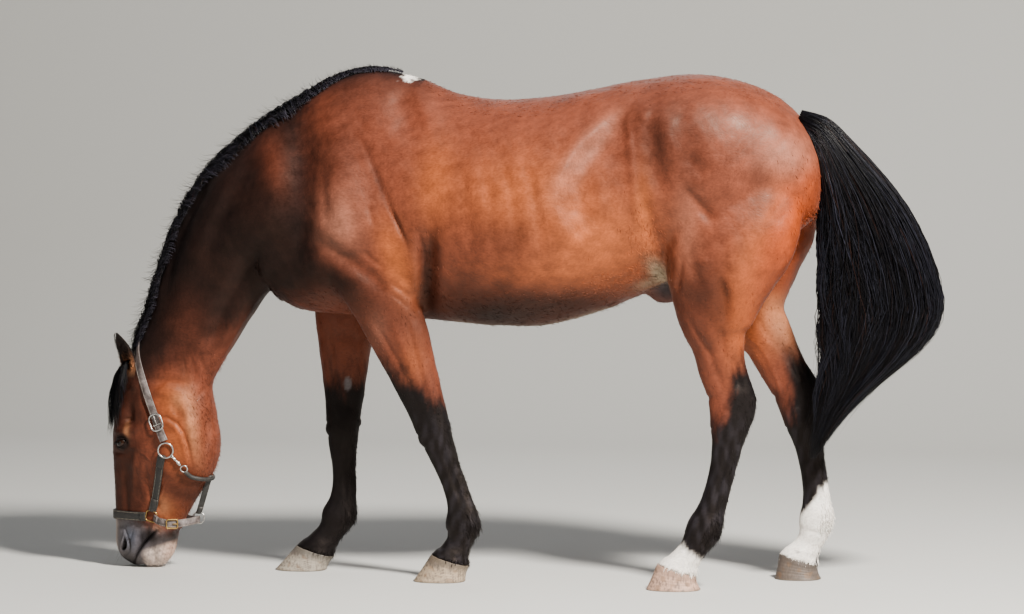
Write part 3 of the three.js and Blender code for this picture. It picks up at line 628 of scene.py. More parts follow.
# ---------------------------------------------------------------- modelling of the skin
# Ridges (height above 0) and grooves along lines on both sides of the body, seen from the side:
# height, half width, then the line's points (x, z).
BODY_STROKES = [
    # behind the shoulder
    (-1.6, 14, [(-18, 1400), (6, 1345), (34, 1290), (62, 1235), (88, 1180), (112, 1125)]),
    (-1.8, 6, [(0, 1360), (36, 1284), (66, 1226), (94, 1165), (122, 1105), (158, 1040)]),
    (-3.5, 6, [(78, 1190), (100, 1150), (128, 1095), (148, 1058)]),
    (-3, 40, [(140, 1330), (200, 1240), (226, 1150), (220, 1060)]),
    (5, 60, [(-80, 1330), (-60, 1220), (-35, 1110), (0, 1020)]),  # shoulder blade
    (-5, 22, [(-140, 1330), (-132, 1220), (-110, 1110)]),
    (-9, 26, [(-170, 1085), (-100, 1040), (-40, 1008), (30, 962), (85, 905)]),  # point of the shoulder
    (7, 50, [(-140, 990), (-70, 950), (0, 910)]),
    (-2.5, 8, [(16, 1190), (26, 1155), (36, 1120)]),
    (-3, 9, [(-10, 1052), (30, 1015), (72, 985)]),
    (9, 36, [(70, 1100), (122, 1035), (150, 970), (142, 905)]),  # elbow
    (-4, 7, [(80, 950), (120, 922), (150, 888)]),
    (-3, 5, [(78, 915), (112, 892), (140, 862)]),
    (-20, 30, [(205, 1130), (207, 1050), (200, 970), (188, 900), (170, 840)]),
    (-7, 9, [(176, 1110), (184, 1040), (180, 975), (166, 915)]),
    (-24, 62, [(-235, 1500), (-215, 1340), (-205, 1190), (-225, 1050), (-270, 930)]),  # before it
    (6, 48, [(-262, 1380), (-300, 1240), (-350, 1130), (-410, 1020)]),  # neck
    (-6, 32, [(-340, 1360), (-415, 1240), (-478, 1120), (-530, 990)]),
    (5, 34, [(-420, 1330), (-500, 1200), (-560, 1070), (-605, 930)]),
    (-10, 22, [(-330, 1070), (-415, 950), (-485, 835), (-540, 700)]),  # jugular groove
    (5, 18, [(-310, 1000), (-395, 885), (-468, 770), (-520, 680)]),
    (-6, 22, [(-520, 1300), (-605, 1150), (-662, 1010), (-700, 860)]),  # under the crest
    (6, 26, [(130, 1570), (170, 1510), (205, 1450), (220, 1390)]),  # behind the withers
    (-7, 40, [(70, 1550), (105, 1480), (150, 1400)]),
    (4, 50, [(230, 1450), (400, 1432), (560, 1435), (700, 1450)]),  # long muscle of the back
    (-4, 34, [(220, 1390), (400, 1362), (560, 1365), (720, 1390)]),
    # end of the ribs
    (7, 24, [(815, 1505), (745, 1445), (697, 1398), (656, 1345), (622, 1290), (602, 1240)]),
    (6, 24, [(622, 1290), (602, 1245), (602, 1195), (622, 1140), (655, 1098), (720, 1050)]),
    (-13, 44, [(840, 1470), (765, 1400), (722, 1340), (696, 1270), (696, 1190), (736, 1100)]),
    (-1.6, 18, [(300, 1350), (335, 1230), (352, 1120), (350, 990)]),  # between the ribs
    (-1.8, 18, [(370, 1350), (408, 1230), (425, 1120), (425, 990)]),
    (-2.0, 18, [(440, 1350), (482, 1230), (500, 1120), (500, 1000)]),
    (-2.0, 18, [(512, 1350), (556, 1230), (574, 1120), (575, 1010)]),
    (4, 12, [(832, 1510), (842, 1400), (855, 1290), (866, 1190), (880, 1110)]),  # fold of the flank
    (-11, 34, [(905, 1500), (915, 1400), (928, 1310), (950, 1210)]),
    (-6, 24, [(880, 1260), (900, 1150), (935, 1050), (965, 970)]),
    (7, 26, [(840, 1505), (872, 1490), (905, 1468)]),  # point of the hip
    (-3.5, 34, [(985, 1540), (1002, 1440), (1020, 1350)]),
    (-6, 28, [(1020, 1370), (1050, 1325), (1078, 1275)]),  # hollows of the thigh
    (-6, 18, [(1005, 1262), (1060, 1200), (1118, 1135)]),
    (5, 40, [(975, 1250), (1005, 1130), (1020, 1010), (1050, 900)]),
    (5, 22, [(1172, 1120), (1178, 1010), (1165, 910)]),
    (4, 18, [(1082, 1040), (1080, 1025), (1076, 1005)]),
    (-9, 20, [(1118, 990), (1138, 910), (1140, 820)]),  # stifle
    (-6, 24, [(1020, 1110), (1038, 1010), (1075, 930)]),
    (3, 50, [(1220, 1420), (1258, 1290), (1256, 1150), (1232, 1020)]),
    (-3.5, 34, [(1325, 1420), (1328, 1290), (1302, 1180), (1262, 1070), (1215, 940)]),
    (5, 50, [(1150, 1510), (1230, 1470), (1310, 1400)]),  # croup
    (-6, 24, [(855, 955), (905, 985), (965, 985)]),  # groin
    (-4, 12, [(985, 920), (1000, 985), (1008, 1050)]),
]
# On the head, before it is turned with the neck.
HEAD_STROKES = [
    (4.5, 9, [(-775, 392), (-788, 345), (-798, 290), (-802, 238)]),  # facial crest
    (-5, 13, [(-815, 340), (-828, 280), (-832, 215), (-828, 160)]),
    (3, 9, [(-862, 350), (-868, 260), (-870, 180), (-868, 125)]),  # edge of the nasal bone
    (-5, 12, [(-748, 350), (-752, 290), (-735, 225), (-712, 180)]),  # before the cheek
    (3, 16, [(-700, 470), (-680, 400), (-682, 330), (-650, 290)]),
    (-3.6, 5.5, [(-708, 494), (-665, 492), (-635, 476), (-614, 447), (-601, 400), (-592, 335)]),
    (2.2, 7, [(-700, 480), (-668, 478), (-642, 462), (-626, 438), (-615, 396), (-607, 345)]),
    (7, 12, [(-640, 585), (-610, 525), (-591, 465), (-580, 395), (-577, 325)]),  # edge of the cheek
    (-6, 11, [(-560, 520), (-549, 450), (-551, 370)]),
    (-3.5, 13, [(-660, 545), (-636, 512), (-640, 500)]),
    (-5, 16, [(-735, 612), (-690, 606), (-640, 604), (-600, 600)]),  # end of the neck
    (4, 14, [(-720, 575), (-670, 572), (-630, 570)]),
    (2.2, 3.2, [(-728, 205), (-708, 232), (-692, 268), (-675, 292)]),  # veins
    (1.8, 2.6, [(-692, 268), (-712, 300), (-722, 345), (-716, 385)]),
    (1.8, 2.4, [(-722, 345), (-748, 372), (-765, 378)]),
    (2.0, 2.8, [(-708, 232), (-740, 262), (-765, 300)]),
    (-8, 15, [(-808, 492), (-802, 470)]),  # hollow over the eye
    (5, 9, [(-842, 446), (-812, 446), (-780, 450), (-752, 470)]),  # arch behind the eye
    (4, 16, [(-800, 600), (-772, 585)]),
    (-5, 9, [(-758, 560), (-735, 520), (-720, 480)]),
    (4, 20, [(-690, 600), (-650, 560)]),
    (-2.5, 9, [(-572, 700), (-558, 640), (-560, 590), (-586, 548)]),  # folds of the throat
    (-1.3, 5, [(-600, 700), (-588, 640), (-596, 590)]),
    (1.3, 6, [(-588, 700), (-573, 640), (-576, 590)]),
    (-0.8, 4, [(-626, 690), (-616, 640), (-624, 604)]),
    (0.8, 5, [(-613, 690), (-602, 640), (-609, 604)]),
    (3, 12, [(-700, 170), (-680, 130), (-690, 95)]),
    (3, 9, [(-790, 98), (-812, 64), (-828, 30)]),  # lips
    (3, 8, [(-756, 80), (-780, 48), (-800, 20)]),
    (-11, 3.4, [(-722, 122), (-740, 112), (-760, 92), (-782, 66), (-800, 40), (-812, 18), (-818, 2)]),
    (-2, 2.4, [(-735, 128), (-722, 118), (-716, 104)]),  # folds at the corner of the mouth
    (-2, 2.2, [(-742, 138), (-728, 134), (-714, 122)]),
    (-2, 3, [(-806, 128), (-815, 98), (-830, 72)]),
    (-4, 9, [(-722, 62), (-738, 40), (-752, 14)]),
]


def both_sides(height, width, line):
    """A stroke on the outer side of a leg, and the same on the inner side."""
    inner = [(t, angle if angle == 180 else -angle) for t, angle in line]
    return [(height, width, line), (height, width, inner)]


def foot_strokes(fetlock):
    """The knobs and the ergot of a fetlock, the hollow of the pastern and the rim of the coronet."""
    strokes = [
        *both_sides(4, 11, [(-0.02, 128), (0.04, 132)]),
        (3, 9, [(0, 0)]),
        (-4, 6, [(-0.1, 70), (0.02, 85), (0.12, 78)]),
        *both_sides(-3, 4, [(0.2, 180), (0.22, 120), (0.26, 70)]),
        (4, 6, [(0.14, 180)]),
        (-6, 10, [(0.42, 180), (0.6, 180)]),
        (3, 5, [(0.86, -90), (0.86, 0), (0.86, 90)]),
    ]
    return [(rise, width, [(fetlock + t, angle) for t, angle in line]) for rise, width, line in strokes]


# Down the legs: height, half width, then the line by station and angle from the front, towards
# the outside.
LEG_STROKES = {
    "fore": [
        (-4, 8, [(1.02, 62), (1.3, 70), (1.6, 76), (1.82, 80)]),
        (-4, 7, [(1.1, 118), (1.4, 114), (1.78, 106)]),
        (4, 12, [(1.1, 92), (1.35, 92), (1.6, 92)]),
        (-4, 7, [(1.1, -70), (1.5, -76), (1.8, -80)]),
        (1.8, 3, [(1.15, 25), (1.4, 40), (1.65, 35), (1.9, 52), (2.1, 60)]),  # veins
        (2.5, 4, [(1.3, -30), (1.6, -45), (1.9, -58), (2.2, -70)]),
        (4, 12, [(1.9, 0)]),  # knee
        (-3, 5, [(1.975, -60), (1.975, 0), (1.975, 60)]),
        (3, 9, [(2.04, -40), (2.04, 0), (2.04, 40)]),
        (-3, 5, [(2.1, -60), (2.1, 0), (2.1, 60)]),
        (4, 9, [(1.97, 90)]),
        (5, 10, [(1.93, 172), (2.0, 176)]),
        *both_sides(-6, 6, [(2.12, 104), (2.3, 104), (2.55, 106), (2.82, 112)]),  # tendons
        *both_sides(-3, 4, [(2.15, 140), (2.4, 138), (2.6, 142), (2.78, 146)]),
        (2, 3, [(2.2, 80), (2.35, 96), (2.5, 84), (2.68, 98), (2.8, 90)]),
        (1.8, 2.5, [(2.3, 124), (2.42, 130), (2.5, 122), (2.62, 128)]),
        (-2, 4, [(3.4, 110), (3.44, 60), (3.46, 0)]),
        *foot_strokes(3),
    ],
    "hind": [
        (-5, 10, [(1.15, 55), (1.5, 62), (1.9, 72), (2.3, 80), (2.6, 84)]),
        (-4, 8, [(1.3, 105), (1.7, 104), (2.1, 104)]),
        (4, 14, [(1.2, 84), (1.6, 86), (2.0, 90)]),
        *both_sides(-10, 14, [(2.05, 128), (2.35, 126), (2.62, 122)]),  # before the heel's tendon
        (3.5, 5, [(1.35, -52), (1.7, -66), (2.1, -72), (2.5, -66), (2.75, -50), (3.05, -42)]),
        (2.5, 4, [(1.7, -66), (1.95, -92), (2.2, -100)]),
        (2.2, 3.5, [(1.3, 20), (1.6, 34), (1.9, 28), (2.2, 40)]),
        (-4, 6, [(1.2, -98), (1.6, -96), (2.0, -96)]),
        (5, 12, [(2.68, 180), (2.76, 180)]),  # hock
        (-4, 8, [(2.62, -50), (2.64, 0), (2.62, 50)]),
        *both_sides(4, 11, [(2.86, 78), (2.92, 84)]),
        *both_sides(-4, 6, [(2.78, 128), (2.95, 122), (3.12, 112)]),
        (-3, 5, [(3.06, -50), (3.08, 0), (3.06, 50)]),
        (2, 4, [(2.98, 60), (3.06, 74), (3.16, 66)]),
        *both_sides(-6, 6, [(3.15, 104), (3.4, 104), (3.65, 106), (3.86, 112)]),  # tendons
        (-3, 4, [(3.2, 140), (3.45, 138), (3.65, 142), (3.82, 146)]),
        (2, 3, [(3.2, 84), (3.4, 94), (3.6, 86), (3.8, 92)]),
        *foot_strokes(4),
    ],
}
# Muzzle openings, before the head is turned: centre, the way the opening faces and the way its
# long axis points, half sizes, depth.
NOSTRIL = {
    "at": (-840, 53, 74), "out": (-0.42, 0.9, -0.1), "long": (0.38, 0, 0.92),
    "half": (25, 10.5), "depth": 20, "curve": 5,
}
GAZE = (-0.22, 0.97, -0.02)
EYE_AXIS = (-0.88, 0, -0.48)  # from the outer corner of the eye to the inner
LIDS = {"half": 23, "upper": 9.5, "lower": 13, "thick": 2.4, "area": 44}
LID_FOLDS = [  # over the upper (1) or under the lower (-1) lid: height, distance from the edge, width
    (1, -3.6, 8.5, 2.2),
    (1, 3.0, 13, 2.6),
    (1, -2.6, 18, 2.2),
    (-1, -2.4, 7, 2.2),
    (-1, 1.2, 11, 2.4),
]
# Forms of the face: height, centre (x, distance from the midline, z) and reach each way.
HEAD_FORMS = [
    (-10, (-662, 0, 112), (20, 70, 12)),  # groove above the chin
    (-14, (-655, 0, 10), (34, 80, 30)),  # the chin's rounded underside
    (-10, (-700, 80, 0), (70, 30, 26)),
    (-9, (-884, 0, 0), (26, 80, 34)),  # the upper lip's rounded edge
    (-8, (-786, 50, -4), (12, 40, 14)),
    (4, (-668, 20, 66), (20, 44, 22)),  # chin
    (-5, (-741, 62, 42), (7, 44, 34)),  # between the lower lip and the chin
    (4, (-768, 48, 38), (18, 30, 26)),  # lower lip
    (4, (-845, 40, 30), (26, 30, 16)),  # upper lip
    (-5, (-893, 0, 78), (26, 15, 40)),  # between the nostrils
    (4, (-806, 60, 82), (9, 24, 34)),  # wing of the nostril
    (-4, (-786, 62, 96), (9, 24, 40)),
    (-4, (-852, 60, 132), (30, 24, 14)),  # above the nostril
    (6, (-838, 96, 442), (26, 26, 9)),  # brow
    (5, (-800, 104, 442), (9, 30, 26)),  # rim of the eye socket
    (-10, (-800, 92, 500), (16, 34, 24)),  # hollow over the eye
    (-5, (-846, 98, 372), (24, 30, 8)),  # below the eye
    (4, (-778, 98, 392), (26, 30, 9)),  # start of the facial crest
    (-6, (-722, 90, 250), (26, 40, 60)),  # hollow before the cheek
]


def side_view(points):
    """Points as seen from the side: x, z."""
    return np.ascontiguousarray(points[:, [0, 2]])


def line_share(points, line, width):
    """How strongly each point feels a line: 1 on it, less beside it and towards its ends."""
    line = np.array(line, float)
    dot = len(line) == 1
    if dot:
        line = np.repeat(line, 2, axis=0)
    low, high = line.min(0) - 3 * width, line.max(0) + 3 * width
    close = np.flatnonzero(np.all((points > low) & (points < high), 1))
    share = np.zeros(len(points))
    p = points[close]
    best, place = np.full(len(close), np.inf), np.zeros(len(close))
    for i, (a, b) in enumerate(zip(line[:-1], line[1:])):
        ab = b - a
        s = np.clip((p - a) @ ab / max(ab @ ab, 1e-9), 0, 1)
        away = np.linalg.norm(p - a - s[:, None] * ab, axis=1)
        place = np.where(away < best, (i + s) / (len(line) - 1), place)
        best = np.minimum(best, away)
    taper = 1 if dot else smoothstep(-0.08, 0.3, place) * smoothstep(1.08, 0.7, place)
    share[close] = np.exp(-((best / width) ** 2)) * taper
    return share


LEG_TOP = {"fore": 900, "hind": 960}  # under this height the skin belongs to a leg
LEG_REACH = 190


def leg_places(points):
    """For each point: which leg it is on (or -1), its station there and its angle from the front."""
    which = np.full(len(points), -1)
    station, angle = np.zeros(len(points)), np.zeros(len(points))
    for k, (name, leg) in enumerate(LEGS.items()):
        spine, last = leg_spine(leg)
        t = np.linspace(0.6, last, 220)
        spine = spine(t)
        near_x = np.interp(-points[:, 2], -spine[:, 1], spine[:, 0])
        on = (points[:, 2] < LEG_TOP[name.split("_")[0]]) & (points[:, 1] * leg["side"] > 0)
        on &= np.abs(points[:, 0] - near_x) < LEG_REACH
        index = np.flatnonzero(on)
        p = points[index]
        gap = np.abs(p[:, None, 2] - spine[None, :, 1]) + np.abs(p[:, None, 0] - spine[None, :, 0])
        hit = gap.argmin(1)
        along = unit(np.gradient(spine[:, :2], axis=0))[hit]
        off = p[:, [0, 2]] - spine[hit, :2]
        forward = off[:, 0] * along[:, 1] - off[:, 1] * along[:, 0]
        sideways = p[:, 1] * leg["side"] - spine[hit, 2]
        which[index], station[index], angle[index] = k, t[hit], np.arctan2(sideways, forward)
    return which, station, angle


def eye_axes(side):
    out = unit(np.array(GAZE) * [1, side, 1])
    long = np.array(EYE_AXIS, float)
    long = unit(long - out * (long @ out))
    up = unit(np.cross(out, long)) * side
    if up[0] > 0:
        up = -up
    return np.array([EYE["x"], side * EYE["y"], EYE["z"]], float), out, long, up


def shape_lids(points, side):
    """Draws the skin over the eyeball and opens an almond between the lids."""
    centre, out, long, up = eye_axes(side)
    q = points - centre
    u, v, h = q @ long, q @ up, q @ out
    close = (h > 0) & (np.hypot(u, v) < LIDS["area"])
    u, v, h = u[close], v[close], h[close]
    share = np.clip(np.abs(u) / LIDS["half"], 0, 1)
    lid = np.where(v > 0, LIDS["upper"] * (1 - share**3.2), LIDS["lower"] * (1 - share**1.9))
    edge = np.abs(v) - lid + 30 * np.maximum(np.abs(u) / LIDS["half"] - 1, 0)
    radius = EYE["radius"]
    over = np.sqrt(np.maximum((radius + LIDS["thick"]) ** 2 - u * u - v * v, 0))
    under = np.maximum(np.sqrt(np.maximum((radius - 4) ** 2 - u * u - v * v, 0)), over - 7)
    target = h + (np.maximum(over, h - 3) - h) * (1 - smoothstep(17, 33, np.hypot(u, v)))
    target += (1.0 + 1.4 * (v > 0)) * bell(edge, 2.0, 2.0)
    for which, height, at, width in LID_FOLDS:
        target += height * (v * which > 0) * bell(u, 0, 20) * bell(edge, at, width)
    inside = 1 - smoothstep(-1.2, 0.2, edge)
    h_new = target * (1 - inside) + under * inside
    points[close] += (h_new - h)[:, None] * out
    return points


def shape_nostril(points, side):
    """Sinks the nostril into the skin, a bent oval, with a raised rim and a fold over it."""
    centre, out, long = (np.array(NOSTRIL[key], float) * [1, side, 1] for key in ("at", "out", "long"))
    out = unit(out)
    long = unit(long - out * (long @ out))
    q = points - centre
    u, v = q @ long, q @ np.cross(out, long) * side
    v = v + NOSTRIL["curve"] * ((u / 20) ** 2 - 0.5)
    a, b = NOSTRIL["half"]
    b = b * (1 - 0.32 * np.clip(u / a, -1, 1))  # round below, a slit above
    r = np.hypot(u / a, v / b)
    close = (np.linalg.norm(q, axis=1) < 50) & (q @ out > -24)
    depth = NOSTRIL["depth"] * (1 - smoothstep(0.5, 1.0, r))
    rise = 3.4 * bell(r, 1.3, 0.28) - 3.0 * bell(r, 2.0, 0.35) * (v > 0)
    points[close] += (rise[:, None] * out - depth[:, None] * unit(out + [0.25, 0, 0.25]))[close]
    return points


SMOOTHING = (0.5, -0.51)  # a step inwards and a slightly longer one back keep the size
NECK_HEIGHT = 645  # over the throat, where the head ends and the neck begins
HEAD_STROKES_FROM = -535
STROKE_GAIN = {"body": 1.45, "head": 1.2}
FREE_LEG = 1.35  # station above which a leg still takes the strokes of the body
RISE_LIMIT = 5  # the skin stays inside the solids
CORONET = {"rise": 4.5, "above_horn": 0.24, "reach": 0.12}
UNEVEN = [(1.0, 210, 3), (0.8, 90, 4)]  # height, size and seed; the finest stops at the head
FINE_UNEVEN = (0.4, 38, 5)


def soften_joins(points, edges):
    """Smooths the joins of the legs and the sheath with the trunk."""
    x, _, z = points.T
    body = unbend(points)[:, 0] > HEAD_FROM
    high = np.where(x > 800, 1470, 1330)
    legs = smoothstep(830, 930, z) * (1 - smoothstep(high - 170, high, z)) * body * (x > -200)
    sheath = (1 - smoothstep(20, 70, np.abs(z - 930))) * (np.abs(x - 918) < 90)
    points = relaxed(points, edges, np.ones(len(points)), SMOOTHING * 2)
    return relaxed(points, edges, np.maximum(legs, sheath), SMOOTHING * 45 + (0.5,) * 16)


def leg_rise(points, which):
    rise = np.zeros(len(points))
    for k, (name, leg) in enumerate(LEGS.items()):
        on = which == k
        for height, width, line in LEG_STROKES[name.split("_")[0]]:
            place = np.linspace(0, 1, len(line))
            t, angle = (np.interp(np.linspace(0, 1, 12), place, v) for v in np.array(line, float).T)
            path = leg_point(leg, t, angle * DEG, -COAT_DEPTH)
            rise += height * on * line_share(points, path, width)
    return rise


def model_skin(mesh):
    """Smooths the joins of the legs, then works the muscles, tendons, veins and face into the skin."""
    points = corners_of(mesh)
    which, station, _ = leg_places(points)
    points = soften_joins(points, edges_of(mesh))
    set_corners(mesh, points)

    normals = normals_of(mesh)
    straight = unbend(points)
    from_side = side_view(straight)
    facing = smoothstep(0.1, 0.55, np.abs(normals[:, 1]))
    head = straight[:, 0] < HEAD_FROM
    rise = np.zeros(len(points))
    for strokes, on, gain in (
        (BODY_STROKES, ~head | (straight[:, 2] > NECK_HEIGHT), STROKE_GAIN["body"]),
        (HEAD_STROKES, straight[:, 0] < HEAD_STROKES_FROM, STROKE_GAIN["head"]),
    ):
        for height, width, line in strokes:
            rise += gain * height * facing * on * line_share(from_side, line, width)
    mirrored = np.abs(straight) * [-1, 1, 1]
    for height, centre, reach in HEAD_FORMS:
        away = (mirrored - centre) / reach
        rise += height * head * np.exp(-(away * away).sum(1))
    rise[(which >= 0) & (station >= FREE_LEG)] = 0
    rise += leg_rise(points, which)
    for height, size, seed in UNEVEN:
        rise += height * wave(points, size, seed)
    height, size, seed = FINE_UNEVEN
    rise += height * wave(points, size, seed) * (1 - head)
    horn = np.where(which < 2, 4.0, 5.0)
    swelling = bell(station, horn - CORONET["above_horn"], CORONET["reach"])
    rise += CORONET["rise"] * (which >= 0) * swelling
    rise = np.where(rise > 0, RISE_LIMIT * np.tanh(rise / RISE_LIMIT), rise)
    straight = unbend(points + normals * rise[:, None])
    for side, _ in SIDES:
        straight = shape_nostril(shape_lids(straight, side), side)
    set_corners(mesh, bend(straight))


def wave(points, size, seed):
    """A gentle, seeded wobble between about -1 and 1, `size` long."""
    pick = np.random.default_rng(seed)
    ways = unit(pick.normal(size=(7, 3))) * 2 * np.pi / (size * pick.uniform(0.6, 1.6, (7, 1)))
    phase = pick.uniform(0, 2 * np.pi, 7)
    return np.sin(points @ ways.T + phase).sum(1) / 3.2


# ---------------------------------------------------------------- colours of the coat
STREAKY = np.array([1, 1, 0.3])  # draws a pattern out down the body


def srgb(red, green, blue_sheen):
    c = np.array([red, green, blue_sheen]) / 255
    return np.where(c < 0.04045, c / 12.92, ((c + 0.055) / 1.055) ** 2.4)


BAY = srgb(100, 48, 31)
# Dark bay coat; the same colour also paints shade in hollows and under the belly.
DARK_BAY_AND_SHADE = srgb(27, 15, 12)
ORANGE = srgb(164, 82, 36)
RUST = srgb(140, 54, 12)
# A pale pinkish colour for painted highlights on the coat.
PAINTED_HIGHLIGHT = srgb(158, 104, 84)
BLACK = srgb(12, 11, 13)
GREY_BLACK = srgb(50, 48, 55)
WHITE = srgb(240, 234, 226)
GREY = srgb(96, 92, 94)
BLUE_GREY = srgb(62, 68, 80)
PALE_SKIN = srgb(204, 184, 172)
GROIN = srgb(182, 168, 138)
# Tan hair; the same colour also paints highlights on the head and on the far gaskin.
TAN = srgb(186, 124, 84)
DARK_EAR_HAIR = srgb(30, 22, 20)
HAIR = srgb(8, 7, 9)
# Near black for the inside of the nostrils: dark skin with painted shade.
NOSTRIL_SKIN_AND_SHADE = srgb(14, 10, 11)
INNER_EAR = srgb(34, 25, 24)


def layered(colour, *layers):
    """Lays (colour, share) layers over a colour, one after another."""
    for other, share in layers:
        colour = colour + (other - colour) * np.clip(share, 0, 1)[:, None]
    return colour


def plain(colour, count):
    return np.repeat(colour[None], count, 0)


def blob(points, x, z, reach_x, reach_z, tilt=0):
    c, s = np.cos(tilt * DEG), np.sin(tilt * DEG)
    dx, dz = points[:, 0] - x, points[:, 2] - z
    u, v = (dx * c + dz * s) / reach_x, (dz * c - dx * s) / reach_z
    return np.exp(-(u * u + v * v))


# Where the coat of the body and neck changes colour, with painted shade and highlights: share, centre
# (x, z), reach, tilt.
BODY_PATCHES = [
    (ORANGE, [(0.6, 760, 1080, 190, 130), (0.85, 112, 1005, 48, 120, 18)]),
    (ORANGE, [(0.4, 1240, 1060, 60, 200, -22)]),
    (RUST, [(0.95, 1340, 1150, 60, 210, -24), (0.6, 1180, 840, 60, 110)]),
    (ORANGE, [(0.5, 500, 1230, 230, 120), (0.6, 888, 1190, 26, 120), (0.35, 640, 980, 240, 60)]),
    (ORANGE, [(0.5, 1180, 830, 60, 150), (0.3, 150, 700, 40, 80), (0.5, 230, 1250, 60, 120)]),
    # Painted highlights: sheen on the shoulder, by the elbow, along the arch of the ribs, on the rump
    # and on the thigh.
    (PAINTED_HIGHLIGHT, [(0.5, -85, 1130, 75, 100, 10), (0.25, 40, 800, 30, 60), (0.35, 700, 1350, 40, 150, -38)]),
    (PAINTED_HIGHLIGHT, [(0.45, 1330, 1350, 80, 60), (0.25, 1020, 1120, 40, 120)]),
    # Darker coat along the withers and back; painted shade on the upper shoulder, at the hip, on the
    # chest before the forearm, behind the elbow, at the stifle, in the hollows of the thigh and under
    # the belly.
    (DARK_BAY_AND_SHADE, [(0.5, -60, 1540, 190, 100), (0.55, -110, 1330, 90, 110), (0.4, 330, 1570, 400, 50)]),
    (DARK_BAY_AND_SHADE, [(0.5, 985, 1440, 150, 120), (0.92, -90, 950, 180, 72, -24), (0.7, 195, 930, 34, 150)]),
    (DARK_BAY_AND_SHADE, [(0.42, 915, 1385, 60, 150), (0.72, 1070, 930, 86, 110), (0.3, 1050, 1315, 60, 60)]),
    (DARK_BAY_AND_SHADE, [(0.6, 1130, 860, 30, 90), (0.95, 400, 845, 260, 90), (0.7, 640, 880, 190, 56)]),
    (DARK_BAY_AND_SHADE, [(0.4, 470, 1090, 90, 60), (0.3, 1240, 1290, 30, 150, 10)]),
    (GROIN, [(0.75, 915, 980, 24, 44, 20), (0.35, 880, 946, 40, 16, 20)]),
    # Painted shade, near black: in the valley before the shoulder, under the crest, in the creases
    # behind the shoulder and behind the elbow.
    (BLACK, [(0.5, -640, 1060, 44, 260, -22), (0.6, -205, 1180, 44, 260, 6)]),
    (BLACK, [(0.55, 44, 1262, 9, 90, 23), (0.5, 130, 1092, 8, 60, 26), (0.4, 190, 1000, 16, 110)]),
]
HEAD_PATCHES = [
    (ORANGE, [(0.6, -630, 420, 50, 110), (0.55, -665, 545, 50, 60), (0.5, -690, 190, 40, 50)]),
    # Painted highlights: the bright ridge along the edge of the cheek, a bright spot on the cheek and
    # the arch behind the eye.
    (TAN, [(0.5, -592, 470, 16, 100, 8), (0.45, -630, 548, 24, 30), (0.6, -806, 446, 9, 24)]),
    (TAN, [(0.5, -700, 200, 26, 34), (0.7, -726, 126, 15, 13)]),
    (DARK_BAY_AND_SHADE, [(0.8, -770, 670, 60, 90), (0.6, -640, 250, 70, 70), (0.5, -760, 500, 40, 60)]),
]
# The top of the neck, as -x and z: its ribs, with one at the buttock to start from.
CREST = [(-TORSO_RIBS[i][0], TORSO_RIBS[i][1]) for i in (0, *range(11, 20), 21)]
MOUTH_SHADE = [  # share, width and line of the dark skin beside the mouth
    (0.8, 8, [(-702, 128), (-730, 122), (-752, 104), (-772, 82), (-792, 52), (-808, 22)]),
    (0.6, 15, [(-745, 122), (-768, 112), (-786, 84)]),
    (0.85, 14, [(-858, 34), (-836, 14), (-812, 6)]),
]
# How high the black of each leg reaches at its front and its back, and the back's roundness.
BLACK_TO = {
    "fore_left": (670, 585, 1),
    "fore_right": (610, 610, 1),
    "hind_left": (500, 710, 1.6),
    "hind_right": (540, 730, 1.6),
}
WHITE_TO = {"hind_left": (136, 96), "hind_right": (205, 300)}  # the same for the white


def colour_muzzle(colour, straight, rough):
    x, _, z = straight.T
    head = x < HEAD_FROM
    muzzle = head * smoothstep(172, 118, z + 0.25 * (x + 800) + 0.35 * rough)
    tip = head * smoothstep(-862, -884, x) * smoothstep(170, 140, z) * smoothstep(30, 70, z)
    from_side = side_view(straight)
    speckle = np.clip(0.75 + 0.5 * wave(straight, 9, 15), 0, 1)
    chin = head * smoothstep(94, 74, z - 0.35 * (x + 690)) * smoothstep(-786, -760, x)
    return layered(
        colour,
        (GREY, 0.92 * muzzle),
        (BLUE_GREY, 0.9 * muzzle * blob(straight, -815, 100, 34, 54)),
        (GREY_BLACK, 0.85 * muzzle * blob(straight, -770, 92, 30, 34)),
        (BLACK, 0.75 * head * blob(straight, -826, 18, 34, 30)),
        (PALE_SKIN, 0.6 * tip),
        (DARK_BAY_AND_SHADE, 0.9 * head * blob(straight, -675, 112, 26, 20)),
        *[(BLACK, s * head * line_share(from_side, line, width)) for s, width, line in MOUTH_SHADE],
        (BLACK, 0.8 * head * blob(straight, -745, 104, 20, 20)),
        (PALE_SKIN, chin * (0.35 + 0.65 * speckle)),
        (TAN, 0.35 * chin * smoothstep(-735, -690, x)),
    )


